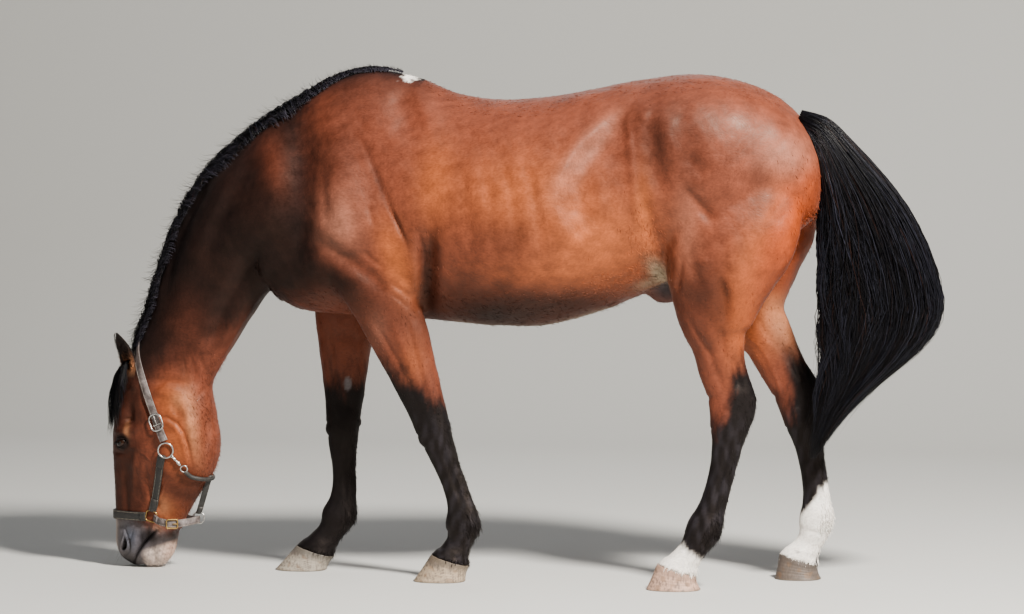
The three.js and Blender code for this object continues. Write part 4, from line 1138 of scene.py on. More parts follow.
def colour_openings(colour, straight):
    """Dark skin round the eyes, dark skin with painted shade inside the nostrils, and ears with a dark
    cup and pale hair below.
    """
    for side in (-1, 1):
        centre, out, long, up = eye_axes(side)
        q = straight - centre
        ring = np.hypot((q @ long + 3) / 34, (q @ up) / 25)
        # The nostril's opening, below the level of the skin, takes dark skin with painted shade.
        to_nostril = straight - np.array(NOSTRIL["at"], float) * [1, side, 1]
        level = to_nostril @ unit(np.array(NOSTRIL["out"]) * [1, side, 1])
        hole = smoothstep(32, 22, np.linalg.norm(to_nostril, axis=1)) * smoothstep(-1, -6, level)
        rim = 0.93 * smoothstep(1.25, 0.7, ring) * (q @ out > -20)
        colour = layered(colour, (BLACK, rim), (NOSTRIL_SKIN_AND_SHADE, hole))
    for ear in EARS.values():
        root, axis, across, out = ear_axes(ear)
        q = straight - root
        s = q @ axis / (axis @ axis)
        q = q - s[:, None] * axis
        u, v = np.abs(q @ across), q @ out
        on = (s > 0.06) & (s < 1.15) & (u < 46) & (np.abs(v) < 46)
        cup = on * (v > -14) * (u < 24)
        colour = layered(
            colour,
            (DARK_BAY_AND_SHADE, 0.95 * on * smoothstep(-0.05, 0.2, s)),
            (BLACK, on * np.clip(0.9 * smoothstep(0.4, 0.8, s) + 0.6 * smoothstep(14, 26, u), 0, 0.92)),
            (INNER_EAR, 0.85 * cup * smoothstep(0.25, 0.5, s)),
            (TAN, 0.28 * on * bell(s, 0.2, 0.1) * (v > -12)),
        )
    return colour


def colour_legs(colour, straight, places, rough):
    """Black points and white marks, a painted sheen on the black and a painted highlight on the far
    gaskin.
    """
    which, _, angle = places
    x, y, z = straight.T
    back = (1 - np.cos(angle)) / 2
    # Streaks of painted grey sheen over the black of the legs.
    painted_sheen = np.clip(0.25 + 0.8 * wave(straight * STREAKY, 20, 16), 0, 1) * smoothstep(590, 440, z)
    spots = smoothstep(0.45, 0.8, wave(straight, 30, 17)) * smoothstep(100, 84, z)
    for k, (name, (front_to, back_to, power)) in enumerate(BLACK_TO.items()):
        on = which == k
        edge = front_to + (back_to - front_to) * back**power
        colour = layered(
            colour,
            (BLACK, on * smoothstep(80, -60, z - edge + 1.1 * rough)),
            (GREY_BLACK, 0.3 * on * painted_sheen * (name != "fore_right")),
        )
        if name in WHITE_TO:
            front_to, back_to = WHITE_TO[name]
            sock = on * smoothstep(14, -8, z - front_to - (back_to - front_to) * back + 0.3 * rough)
            colour = layered(colour, (WHITE, sock), (GREY_BLACK, on * spots * (name == "hind_right")))
    far_hind = which == 3
    # A painted highlight on the inner side of the far gaskin, where it faces the light.
    inner = far_hind * smoothstep(640, 740, z) * smoothstep(960, 880, z) * (np.abs(y) < 140)
    chestnut = (which == 1) * np.exp(-(((x + 118) / 13) ** 2 + ((z - 600) / 24) ** 2)) * (y < 112)
    return layered(
        colour,
        (TAN, 0.45 * inner * blob(straight, 1262, 820, 50, 90, 20)),
        (BLACK, 0.7 * far_hind * blob(straight, 1296, 690, 20, 80, 20)),
        (GREY, 0.9 * smoothstep(0.3, 0.6, chestnut)),
    )


def coat_colour(straight, places):
    """The colour of the coat anywhere on the horse, with painted shade and highlights, for the skin and
    for every tuft on it.
    """
    which = places[0]
    x, y, z = straight.T
    streaky = straight * STREAKY
    rough = 16 * wave(straight, 70, 11) + 14 * wave(streaky, 13, 12) + 8 * wave(streaky, 6, 10)
    head = x < HEAD_FROM
    neck = smoothstep(-140, -250, x + 0.12 * (z - 1250) + 0.4 * rough)
    neck = neck * smoothstep(585, 760, z + 0.6 * rough - 0.5 * (x + 640))
    colour = layered(
        plain(BAY, len(x)),
        (DARK_BAY_AND_SHADE, 0.97 * neck),
        (BLACK, 0.4 * neck * (0.6 + 0.4 * wave(straight, 160, 23))),
        (BAY, 0.5 * neck * blob(straight, -300, 1310, 50, 110, 30)),
        (BAY, 0.35 * neck * blob(straight, -600, 770, 70, 100)),
        # Darker front of the face: dark coat, with painted shade on the side turned from the light.
        (DARK_BAY_AND_SHADE, 0.7 * head * smoothstep(-725, -800, x + 0.5 * rough) * (1 - neck)),
    )
    for patches, on in ((BODY_PATCHES, (which < 0) | (z > 620)), (HEAD_PATCHES, head & (z < 720))):
        for other, blobs in patches:
            colour = layered(colour, *[(other, s * on * blob(straight, *at)) for s, *at in blobs])
    top = np.interp(-x, *zip(*CREST))
    crest = bell(y, 0, 46) * (z > 640) * (x < 150)
    saddle = blob(straight, 108, 1592, 30, 30)
    saddle = smoothstep(0.35, 0.6, saddle + 0.012 * rough) * (saddle > 0.12) * (np.abs(y) < 60)
    crest = crest * smoothstep(80, 18, top - z + 0.6 * rough)
    colour = layered(colour, (BLACK, crest), (WHITE, 0.85 * saddle))
    dapple = 0.6 * wave(straight, 70, 32) + 0.6 * wave(straight, 30, 33) + 0.4 * wave(streaky, 15, 34)
    colour = colour * (1 + 0.16 * np.clip(dapple, -1.2, 1.2) * (which < 0))[:, None]
    colour = colour_muzzle(colour, straight, rough)
    colour = colour_openings(colour, straight)
    colour = colour_legs(colour, straight, places, rough)
    under = bell(y, 0, 60) * (z < 870) * (x > 250) * (x < 1000)
    sheath = 0.95 * blob(straight, 925, 925, 55, 45) * (np.abs(y) < 60)
    colour = layered(colour, (GREY_BLACK, sheath), (GROIN, 0.25 * under))
    shade = 1 + 0.05 * wave(streaky, 8, 18) + 0.05 * wave(straight, 60, 19)
    return np.clip(colour * shade[:, None], 0.002, 0.9)


# ---------------------------------------------------------------- eyes and hooves
IRIS = {"half": (16.5, 14.0), "brown": srgb(44, 26, 17), "dark": srgb(22, 13, 9), "rim": srgb(20, 12, 9)}
PUPIL = {"half": (8.5, 4.6), "colour": srgb(12, 9, 8)}
EYE_WHITE = srgb(40, 28, 24)
HORN = {
    "fore_left": srgb(172, 152, 128), "fore_right": srgb(158, 148, 134),
    "hind_left": srgb(196, 158, 136), "hind_right": srgb(96, 84, 76),
}
HORN_FLOW, HORN_STAIN, HORN_TOP, HORN_SOIL = (
    srgb(92, 80, 72), srgb(112, 84, 58), srgb(70, 62, 60), srgb(90, 78, 64)
)
HOOF_SIDES = 96


def make_eye(side):
    """An eyeball with a bulging cornea, a brown iris and a pupil that lies level with the lids."""
    centre, out, long, up = eye_axes(side)
    polar = (np.linspace(0, 1, 60) ** 1.15 * np.pi)[:, None]
    polar[0] = 0.002
    around = circle(72)[None]
    radius = EYE["radius"] * (0.955 + 0.045 * np.exp(-((polar / 0.62) ** 4)))
    u = radius * np.sin(polar) * np.cos(around)
    v = radius * np.sin(polar) * np.sin(around)
    h = radius * np.cos(polar) + 0 * around
    points, faces = loft(centre + u[..., None] * long + v[..., None] * up + h[..., None] * out)
    obj = make_object(f"eyeball_{'left' if side < 0 else 'right'}", bend(points), faces)
    q = points - centre
    u, v = q @ long, q @ up
    iris, pupil = (np.hypot(u / half[0], v / half[1]) for half in (IRIS["half"], PUPIL["half"]))
    streak = 0.5 + 0.5 * np.sin(np.arctan2(v, u) * 46 + 3 * np.sin(iris * 9))
    colour = layered(
        plain(IRIS["brown"], len(q)),
        (IRIS["dark"], 0.6 * streak),
        (PUPIL["colour"], smoothstep(1.12, 0.92, pupil)),
        (IRIS["rim"], smoothstep(0.82, 1.0, iris)),
        (EYE_WHITE, smoothstep(1.05, 1.3, iris)),
    )
    put_colour(obj.data, colour)
    return obj


def make_hoof(name, leg):
    """Horn that flares from the coronet to a flat sole, with growth rings and heel bulbs."""
    angle = circle(HOOF_SIDES)
    top = leg_point(leg, np.full(HOOF_SIDES, float(leg_spine(leg)[1])), angle, -0.5)
    toe, heel, half = leg["hoof"].values()
    across, down = section_share(angle, 0.5, 2.3, 2.3)
    y = leg["side"] * (leg["joints"][-1][2] + across * (half - 1))
    sole = np.stack([(toe + heel) / 2 - (heel - toe - 2) * (0.5 - down), y, 0 * angle], -1)
    away = unit((sole - sole.mean(0)) * [1, 1, 0])
    back = smoothstep(0.45, 0.95, (1 - np.cos(angle)) / 2)[:, None]
    rings = []
    for s in np.linspace(0, 1, 44):
        bow = np.sin(np.pi * s)
        growth = 0.22 * np.sin(s * 2 * np.pi * 7 + 0.6 * np.sin(3 * angle)) * bow
        swell = -1.2 * bell(s, 0, 0.09) - 1.8 * bow
        cleft = -7 * bell(angle, np.pi, 0.13) * smoothstep(1.0, 0.35, s)
        ring = top * (1 - s) + sole * s + (growth + swell + cleft)[:, None] * away
        rings.append(ring - back * 3.0 * bow * away)
    for inset, z in ((1.6, 0.0), (8, 0.0), (11, 4.5)):
        rings.append(sole - away * inset + [0, 0, z])
    rings[-4][:, 2] = 1.6  # the rim just over the sole
    points, faces = loft(np.array(rings))
    obj = make_object(f"{name}_horn", points, faces)
    z = points[:, 2]
    fore = name.startswith("fore")
    band = 0.5 + 0.5 * wave(points * [0.15, 0.15, 1.0], 9, 21)
    flow = 0.5 + 0.5 * wave(points * [1, 1, 0.12], 7, 22)
    base = HORN[name]
    below_top = z - top[:, 2][np.arange(len(points)) % HOOF_SIDES]
    # Painted shade on the horn just under the fringe of hair at the coronet.
    shade_under_hair = smoothstep(-24, -4, below_top + 4 * wave(points, 12, 25))
    colour = layered(
        plain(base, len(points)),
        (base * 0.55, 0.4 * band),
        (HORN_FLOW, 0.75 * smoothstep(0.55, 0.95, flow)),
        (HORN_STAIN, 0.5 * smoothstep(0.4, 0.9, wave(points, 26, 24))),
        (HORN_TOP, 0.8 * fore * smoothstep(38, 66, z + 5 * wave(points, 30, 23))),
        (HORN_SOIL, 0.5 * smoothstep(9, 0, z)),
        (base * (0.3 if fore else 0.6), 0.8 * shade_under_hair),
    )
    put_colour(obj.data, colour)
    return obj


# ---------------------------------------------------------------- hair
HAIR_LIMIT = 195000  # triangles in one piece of hair
PATCH = 0.003  # each lock's place on the unwrap of the skin is this wide
# Over black hair: a painted bluish sheen on some locks, a painted grey sheen on the mane, and hair
# browned by the sun.
BLUISH_SHEEN, SUNBURNT = srgb(44, 44, 56), srgb(58, 36, 28)
TAIL_BLUE_SHEEN, MANE_PAINTED_SHEEN = srgb(27, 28, 36), srgb(84, 80, 94)
MANE = {"from": 11.7, "to": 19.95}  # ribs
CORE_SHAPE = [[17, -2], [10, 2], [0, 7], [-14, 9], [-32, 8], [-48, 5], [-60, -2]]  # angle, height


def unwrap_place(t, angle):
    """Where a place on the torso lies on the unwrap of the skin: along the body, and round it."""
    share = np.clip(np.asarray(t) / RIB_PLACES[-1], 0, 1)
    return np.stack([0.01 + 0.97 * share, 0.25 + 0.22 * np.asarray(angle) / np.pi], -1)


def make_locks(name, paths, half, facing, colours, places, shade=(0.8, 0.45)):
    """Closed, three-sided, tapering locks. Paths are (lock, step, xyz); every lock keeps its own
    colour and its own small patch at its root's place on the unwrap of the skin."""
    count, steps = paths.shape[:2]
    along = np.gradient(paths, axis=1)
    wide = unit(np.cross(along, facing[:, None]))
    thick = unit(np.cross(wide, along))
    s = np.linspace(0, 1, steps)
    profile = (0.55 + 0.45 * smoothstep(0, 0.2, s)) * (1 - smoothstep(0.45, 1.15, s)) + 0.06
    turn = np.array([90, 210, 330]) * DEG
    size = half[:, None, None, None] * profile[None, :, None, None]
    ring = wide[:, :, None] * np.cos(turn)[:, None] + thick[:, :, None] * (0.45 * np.sin(turn)[:, None])
    rings = paths[:, :, None] + size * ring
    points = np.concatenate([rings[:, :-1].reshape(count, -1, 3), paths[:, -1:]], 1)
    each = points.shape[1]
    i, j = np.meshgrid(np.arange(steps - 2) * 3, np.arange(3), indexing="ij")
    a, b = (i + j).ravel(), (i + (j + 1) % 3).ravel()
    quads = np.stack([a, b, b + 3, a + 3], 1)
    end = (steps - 2) * 3
    tris = np.array([[2, 1, 0]] + [[end + j, end + (j + 1) % 3, each - 1] for j in range(3)])
    start = (np.arange(count) * each)[:, None, None]
    faces = [(quads[None] + start).reshape(-1, 4), (tris[None] + start).reshape(-1, 3)]
    triangles = count * (2 * len(quads) + len(tris))
    assert triangles < HAIR_LIMIT, (name, triangles)
    obj = make_object(name, points.reshape(-1, 3), faces)
    shade = (shade[0] + shade[1] * np.concatenate([np.repeat(s[:-1], 3), [1]]))[None, :, None]
    put_colour(obj.data, (colours[:, None] * shade).reshape(-1, 3))
    patch = np.stack([np.tile([0, 0.5, 1], steps - 1), np.repeat(s[:-1], 3)], 1)
    patch = np.concatenate([patch, [[0.5, 1]]]) * PATCH
    uv = (places[:, None] + patch[None]).reshape(-1, 2)
    layer = obj.data.uv_layers.new(name="OFBake")
    corner = np.empty(len(obj.data.loops), np.int32)
    obj.data.loops.foreach_get("vertex_index", corner)
    layer.data.foreach_set("uv", uv[corner].astype(np.float32).ravel())
    return obj


def clumped(values, centres, pull):
    """Draws each lock's value towards its clump's, more and more along the lock."""
    return values[:, None] * (1 - pull) + centres[:, None] * pull


def hair_colours(pick, count, brown=0.1):
    """Black hair, some of it with a painted bluish sheen and a little of it browned by the sun."""
    colours = plain(HAIR, count) * pick.uniform(0.6, 1.4, (count, 1))
    colours = layered(colours, (BLUISH_SHEEN, 0.6 * (pick.random(count) < 0.14) * pick.random(count)))
    return layered(colours, (SUNBURNT, 0.5 * (pick.random(count) < brown) * pick.random(count)))


def tail_point(row, share, sideways):
    tail = smooth_rows(TAIL, range(len(TAIL)))(row.ravel()).reshape(row.shape + (5,))
    inner_x, inner_z, outer_x, outer_z, half = np.moveaxis(tail, -1, 0)
    x = outer_x + (inner_x - outer_x) * share
    z = outer_z + (inner_z - outer_z) * share
    return np.stack([x, sideways * half, z], -1)


def make_tail(name, count, seed, clumps, pull, spread, stray, half):
    """Hair from the dock, in clumps that part towards their ends; stray hair leaves the outline.
    The share across the tail is 0 at its outer edge and 1 at its inner edge."""
    pick = np.random.default_rng(seed)
    s = np.linspace(0, 1, 11)[None]
    clump = pick.integers(0, clumps, count)
    centre_share = pick.uniform(0.0, 0.98, clumps)
    centre_side = pick.uniform(-0.8, 0.8, clumps)
    centre_end = pick.uniform(7.2, 12, clumps)
    share = np.clip(centre_share[clump] + pick.normal(0, spread, count), -0.02, 1.0)
    turn = pick.uniform(0, 2 * np.pi, count)
    rim = np.sqrt(pick.uniform(0.1, 1, count))
    round_off = np.sqrt(np.clip(1 - (2 * share - 1) ** 4, 0.05, 1))
    side = np.clip(rim * np.sin(turn), -0.97, 0.97) * round_off
    start = pick.uniform(0, 2.4, count) * pick.uniform(0, 1, count)
    reach = centre_end[clump] + pick.normal(0, 0.9, count)
    reach = np.clip(reach - 2.0 * (share < 0.25) * pick.random(count), 4.5, 12)
    row = start[:, None] + (reach - start)[:, None] * s
    drawn = pull * smoothstep(0.2, 0.95, s)
    share = clumped(share, centre_share[clump], drawn)
    side = clumped(side, centre_side[clump], drawn)
    phase = pick.uniform(0, 6, clumps)[clump][:, None]
    inner = 0.08 * (1 + np.sin(row * 1.3 + phase)) * smoothstep(1.5, 4, row)
    share = share - inner * share * (share > 0.5)
    paths = tail_point(row, share, side)
    wander = pick.normal(size=(clumps, 3))[clump] * [6, 4, 2] + pick.normal(size=(count, 3)) * [5, 4, 2]
    wander *= 1 + stray * pick.random((count, 1)) ** 2
    wander[:, 0] -= 30 * (share[:, -1] > 0.8) * pick.random(count) ** 4  # wisps at the inner edge
    phase = pick.uniform(0, 6, (clumps, 1, 1))[clump] + pick.uniform(0, 1.5, (count, 1, 1))
    paths += wander[:, None] * s[..., None] ** 1.6 * np.sin(s[..., None] * 5 + phase)
    outwards = np.sign(side[:, 0] + 1e-6)
    facing = unit(np.stack([0.2 * pick.normal(size=count), outwards, 0 * start], -1))
    half = pick.uniform(*half, count)
    places = np.stack([0.01 + 0.3 * start / 2.4, 0.55 + 0.2 * (turn / np.pi - 1)], -1)
    colours = hair_colours(pick, count)
    # A painted bluish sheen on some clumps of the tail.
    blue_sheen = (pick.random(clumps)[clump] < 0.3) * pick.uniform(0.2, 0.9, count)
    return make_locks(name, paths, half, facing, layered(colours, (TAIL_BLUE_SHEEN, blue_sheen)), places)


def make_core(name, rings):
    points, faces = loft(rings)
    obj = make_object(name, points, faces)
    put_colour(obj.data, plain(HAIR, len(points)) * (0.9 + 0.3 * wave(points, 12, 31))[:, None])
    return obj


def tail_core():
    row = np.linspace(0, 6.4, 50)[:, None]
    angle = circle(36)[None]
    fade = (1 - 0.75 * smoothstep(2.5, 6.4, row)) * (0.35 + 0.65 * smoothstep(0, 0.7, row))
    share = 0.46 + 0.38 * fade * np.cos(angle)
    return make_core("tail_core", tail_point(row + 0 * angle, share, 0.6 * fade * np.sin(angle)))


def mane_depth(n):
    """How thick the mane is at a rib: thin at the withers, full before the poll."""
    share = (n - MANE["from"]) / (MANE["to"] - MANE["from"])
    full = (0.25 + 0.75 * smoothstep(-0.05, 0.35, share)) * (1 + 0.35 * share)
    return full * (1 - 0.35 * smoothstep(0.93, 1, share))


def over_neck(
    name, count, seed, n_range, root, end, lift, drift, half,
    steps=8, clumps=160, brown=0.12, spiky=0.0, painted_sheen=0.0,
):
    """Hair that leaves the crest at `root` degrees and lies over to `end` degrees, lifted off the
    skin as (root, crown, tip), while it drifts so many millimetres towards the head."""
    pick = np.random.default_rng(seed)
    s = np.linspace(0, 1, steps)[None]
    n = pick.uniform(*n_range, count)
    centres = pick.uniform(*n_range, clumps)
    clump = np.abs(n[:, None] - centres).argmin(1)
    t0, tc = rib_place(n), rib_place(centres)[clump]
    edge = 1 + 0.28 * wave(np.stack([t0, 0 * t0, 0 * t0], 1), 90, seed)
    a0 = root[0] + (root[1] - root[0]) * pick.random(count) * np.clip(edge, 0.3, 1.3)
    a1 = (pick.uniform(*end, count) + pick.uniform(*end, clumps)[clump]) / 2
    wide = 0.28 + 0.72 * smoothstep(12.3, 15.5, n)  # the withers are broader than the neck
    a0, a1 = a0 * wide, a1 * wide
    grown = pick.uniform(0.5, 1, count) ** 0.6 * (0.7 + 0.3 * pick.random(clumps)[clump])
    deep = mane_depth(n)
    pull = 0.6 * smoothstep(0.2, 1, s)
    drift = pick.uniform(*drift, count) * deep * grown
    t = t0[:, None] + (tc - t0)[:, None] * pull + drift[:, None] * s
    angle = a0[:, None] + ((a1 - a0) * grown)[:, None] * s
    low, high, tip = lift
    out = low + (high - low) * np.sin(np.pi * np.minimum(s * 1.25, 1) ** 0.8) + (tip - low) * s**2
    out = out * deep[:, None] * pick.uniform(0.45, 1.1, (count, 1))
    out += spiky * (pick.random(count) ** 4 * deep)[:, None] * s**1.5
    paths = torso_point(t, angle * DEG, out + 1)
    paths += pick.normal(size=(count, 1, 3)) * 2.2 * s[..., None] ** 2
    on_skin, off_skin = (torso_point(t[:, 0], angle[:, 0] * DEG, height) for height in (0.0, 10.0))
    # A painted grey-lavender sheen on part of the hair, most on the mane's near side.
    colours = layered(hair_colours(pick, count, brown), (MANE_PAINTED_SHEEN, painted_sheen * pick.random(count)))
    half = pick.uniform(*half, count)
    places = unwrap_place(t0, a0 * DEG)
    return make_locks(name, bend(paths), half, unit(off_skin - on_skin), colours, places)


def mane_core():
    n = np.linspace(MANE["from"] + 0.6, MANE["to"] - 0.15, 90)[:, None]
    t = rib_place(n)
    a, out = smooth_rows(CORE_SHAPE, range(7))(np.linspace(0, 6, 30)).T
    spread = 0.35 + 0.65 * smoothstep(12, 15, n)
    rings = torso_point(t, a[None] * DEG * spread, out[None] * mane_depth(n))
    inner = torso_point(t, np.linspace(-50, 12, 12)[None] * DEG * spread, -14.0)
    return make_core("mane_core", bend(np.concatenate([rings, inner], 1)))


_start, _end = MANE["from"], MANE["to"]
_near = (_start - 0.35, _end)
TAIL_HAIR = [  # name, count, seed, clumps, pull, spread, stray, half width
    ("tail_hair_0", 2800, 40, 90, 0.85, 0.12, 0, (0.8, 2.0)),
    ("tail_hair_1", 2900, 41, 130, 0.8, 0.10, 0, (0.5, 1.4)),
    ("tail_hair_2", 900, 42, 60, 0.5, 0.2, 2.2, (0.3, 0.7)),
]
MANE_HAIR = [  # what over_neck takes, in its order
    ("mane_far", 2500, 50, (_start, _end), (-4, 20), (-76, -40), (3, 22, 8), (30, 120), (0.8, 2.1)),
    ("mane_fringe", 2500, 51, _near, (-2, 24), (-20, 4), (2, 12, 20), (35, 70), (0.4, 1.0),
     7, 220, 0.08, 44, 0.25),
    ("mane_near", 2300, 52, _near, (8, 33), (-8, 10), (1, 8, 12), (35, 65), (0.4, 1.0),
     7, 240, 0.1, 0, 0.6),
    ("mane_over", 1000, 55, (13.2, _end), (2, 16), (22, 40), (3, 9, 2), (25, 80), (0.5, 1.2),
     8, 70, 0.2),
]
FORELOCK_HAIR = [
    ("forelock_hair_0", 1300, 53, (20.6, 21.2), (-26, 20), (-46, 44), (6, 24, 13), (110, 225),
     (0.7, 1.6), 9, 40),
    ("forelock_hair_1", 1300, 54, (20.4, 21.1), (0, 46), (40, 86), (4, 15, 7), (60, 210), (0.5, 1.3),
     9, 34),
]


# ---------------------------------------------------------------- tufts of the coat
TIPS_OVER_FLOOR = 0.8
FIRST_FUR_SEED = 60


def body_places(points, places):
    """Each point's place on the unwrap of the skin: the torso in one half, each leg in its own strip."""
    which, station, angle = places
    straight = unbend(points)
    t = np.linspace(0, RIB_PLACES[-1], 240)
    rib = rib_at(t)
    top, under = rib[:, 0:2], rib[:, 2:4]
    middle = (top + under) / 2
    hit = ((straight[:, None, [0, 2]] - middle) ** 2).sum(2).argmin(1)
    up = unit(top - under)[hit]
    height = ((straight[:, [0, 2]] - middle[hit]) * up).sum(1)
    torso = unwrap_place(t[hit], np.arctan2(-straight[:, 1], height))
    leg = np.stack([0.02 + 0.24 * which + 0.1 * (angle / np.pi + 1), 0.55 + 0.08 * station], -1)
    return np.where((which >= 0)[:, None], leg, torso)


def coat_tufts(name, chosen, count, seed, way, length, lift, half, steps=5, tone=1.0, droop=0.5):
    """Tufts rooted on the skin where `chosen` is high, lying along `way` and lifted by `lift`."""
    pick = np.random.default_rng(seed)
    index = pick.choice(len(chosen), count, p=chosen / chosen.sum())
    root, normal = skin_corners[index], skin_normals[index]
    root = root + pick.normal(size=(count, 3)) * 1.2
    way = way[index] if np.ndim(way) == 2 else plain(np.array(way, float), count)
    way = way - (way * normal).sum(1)[:, None] * normal * 0.7
    way = unit(way + pick.normal(size=(count, 3)) * 0.16)
    far = pick.uniform(*length, count)[:, None, None]
    s = np.linspace(0, 1, steps)[None, :, None]
    rise = (lift * pick.uniform(0.5, 1.3, count))[:, None, None]
    paths = far * (s * way[:, None] + rise * (s - droop * s * s) * normal[:, None])
    paths += (root - normal)[:, None]
    paths[..., 2] = np.maximum(paths[..., 2], TIPS_OVER_FLOOR)
    places = tuple(v[index] for v in skin_places)
    colours = coat_colour(unbend(root), places) * tone * pick.uniform(0.8, 1.25, (count, 1))
    size = pick.uniform(*half, count)
    return make_locks(name, paths, size, normal, colours, body_places(root, places), (1.0, 0.1))


def leg_down(places, back):
    """The way hair lies on the legs: down, and a little towards the back."""
    which, station, _ = places
    ways = np.zeros((len(which), 3))
    for k, leg in enumerate(LEGS.values()):
        spine, last = leg_spine(leg)
        on = which == k
        step = spine(np.minimum(station[on] + 0.1, last)) - spine(np.maximum(station[on] - 0.1, 0))
        ways[on] = unit(np.stack([step[:, 0], 0 * step[:, 0], step[:, 1]], 1)) + [back, 0, 0]
    return ways


def make_fur():
    """Tufts wherever the coat breaks the outline, smallest on the face and feet."""
    which, station, angle = skin_places
    x, y, z = unbend(skin_corners).T
    nx, ny, nz = skin_normals.T
    on_leg, off_leg, head = which >= 0, which < 0, x < HEAD_FROM
    fore = (which == 0) | (which == 1)
    back = (1 - np.cos(angle)) / 2
    fetlock, end, knee = np.where(fore, 3.02, 4.02), np.where(fore, 4.0, 5.0), np.where(fore, 1.75, 2.5)
    down = leg_down(skin_places, 0.25)
    feather = on_leg * bell(station, fetlock + 0.02, 0.14) * smoothstep(0.55, 0.95, back)
    pastern = on_leg * smoothstep(fetlock + 0.2, fetlock + 0.4, station) * (station < end - 0.2)
    coronet = on_leg * smoothstep(end - 0.14, end - 0.06, station)
    cannon = on_leg * smoothstep(knee, knee + 0.3, station) * (station < fetlock - 0.1)
    upper = on_leg * (station > 0.8) * (station < np.where(fore, 1.8, 2.5))
    folds = blob(skin_corners, 205, 950, 40, 120) + blob(skin_corners, 905, 1050, 60, 110)
    folds = off_leg * (folds + 0.5 * blob(skin_corners, 1400, 1180, 60, 160))
    throat = head * (z > 560) * (z < 830) * (nx > 0.3) * (x > -640)
    rows = [  # name, where, count, the way it lies, length, lift, half width, steps
        ("fetlocks", feather, 1900, down, (10, 24), 0.3, (0.5, 1.1), 6),
        ("pasterns", pastern * smoothstep(0.5, 0.95, back), 900, down, (8, 18), 0.35, (0.4, 0.9)),
        ("coronets", coronet, 2600, down, (10, 20), 0.62, (0.5, 1.1)),
        ("cannons", cannon * smoothstep(0.75, 0.98, back), 2200, leg_down(skin_places, 0.3),
         (7, 15), 0.3, (0.4, 0.9)),
        ("upper_legs", upper * smoothstep(0.3, 0.9, np.maximum(back, 1 - back)), 2400, down,
         (7, 13), 0.22, (0.5, 1.0), 4),
        ("belly", off_leg * ~head * (x > -330) * (nz < -0.55), 4200, (0.9, 0, -0.25),
         (8, 16), 0.2, (0.5, 1.1), 4),
        ("breast", off_leg * (x < -235) * (x > -480) * (nx < -0.6) * (z < 1250), 1600, (0.2, 0, -0.9),
         (8, 15), 0.15, (0.4, 0.8), 4),
        ("folds", folds, 2200, (0.5, 0, -0.8), (9, 17), 0.3, (0.5, 1.0), 4),
        ("back", off_leg * ~head * (x > -60) * (nz > 0.8), 3000, (1, 0, 0), (8, 14), 0.1, (0.5, 1.0), 4),
        ("jaw", head * (z < 560) * (z > 125) * (nx > 0.35) + 0.8 * throat, 3000, (0.5, 0, -0.75),
         (5, 12), 0.4, (0.35, 0.8), 4),
        ("chin", head * (z < 130) * (nx > -0.2) * (nz < 0.5) * (x > -800), 1300, (0.25, 0, -0.9),
         (3, 7), 0.45, (0.3, 0.6), 4),
        ("face", head * (x < -780) * (z > 170) * (z < 640) * (np.abs(ny) < 0.75), 2200, (0, 0, -1),
         (3.5, 7), 0.22, (0.3, 0.7), 4),
    ]
    pieces = []
    for k, (name, chosen, count, *rest) in enumerate(rows):
        pieces.append(coat_tufts(f"fur_{name}", chosen, count, FIRST_FUR_SEED + k, *rest))
    lips = head * (z < 100) * (np.abs(y) > 12) * (1 + 3 * (x > -780))
    seed = FIRST_FUR_SEED + len(rows)
    way = (-0.2, 0, -0.5)
    pieces.append(coat_tufts("whiskers", lips, 130, seed, way, (18, 46), 0.9, (0.22, 0.34), 6, 0.5, 0.2))
    return pieces


def make_ear_hair():
    """Fine hair that fills the cup of each ear and fringes its edges."""
    paths, colours, facing, places = [], [], [], []
    pick = np.random.default_rng(73)
    s = np.linspace(0, 1, 6)[:, None]
    leaf = smooth_rows(EAR_LEAF, [row[0] for row in EAR_LEAF])
    for ear in EARS.values():
        root, axis, across, out = ear_axes(ear)
        up = unit(axis)
        for _ in range(900):
            place = pick.uniform(0.08, 0.97) ** 1.2
            _, wide, deep, _ = leaf([place])[0]
            side = pick.choice([-1.0, 1.0])
            if pick.random() < 0.6:  # on the rim
                turn = side * pick.uniform(84, 104) * DEG
                start = across * wide * np.sin(turn) - out * deep * np.cos(turn)
                way = up * 0.8 + across * side * pick.uniform(-0.35, 0.25) + out * pick.uniform(0.1, 0.6)
                length = pick.uniform(6, 13) * (1.15 - 0.5 * place)
            else:  # in the cup
                start = across * side * pick.uniform(0.2, 0.85) * wide - out * deep * 0.35
                way = up * 0.6 - across * side * 0.5 + out * 0.7
                length = pick.uniform(10, 26) * (1.1 - 0.7 * place)
            base = root + axis * place + start + ear_curl(place) * out
            way = unit(way + pick.normal(size=3) * 0.15)
            paths.append(base + length * (s * way + 0.25 * s * s * up))
            pale = bell(place, 0.22, 0.2)
            colours.append(DARK_EAR_HAIR * (1 - pale) + TAN * 0.8 * pale)
            facing.append(out)
            places.append([0.9 + 0.03 * (ear["root"][1] > 0), 0.1 + 0.8 * place])
    paths, colours, facing, places = (np.array(v) for v in (paths, colours, facing, places))
    colours = colours * pick.uniform(0.7, 1.3, (len(colours), 1))
    half = pick.uniform(0.35, 0.75, len(colours))
    return make_locks("ear_hair", bend(paths), half, facing, colours, places)


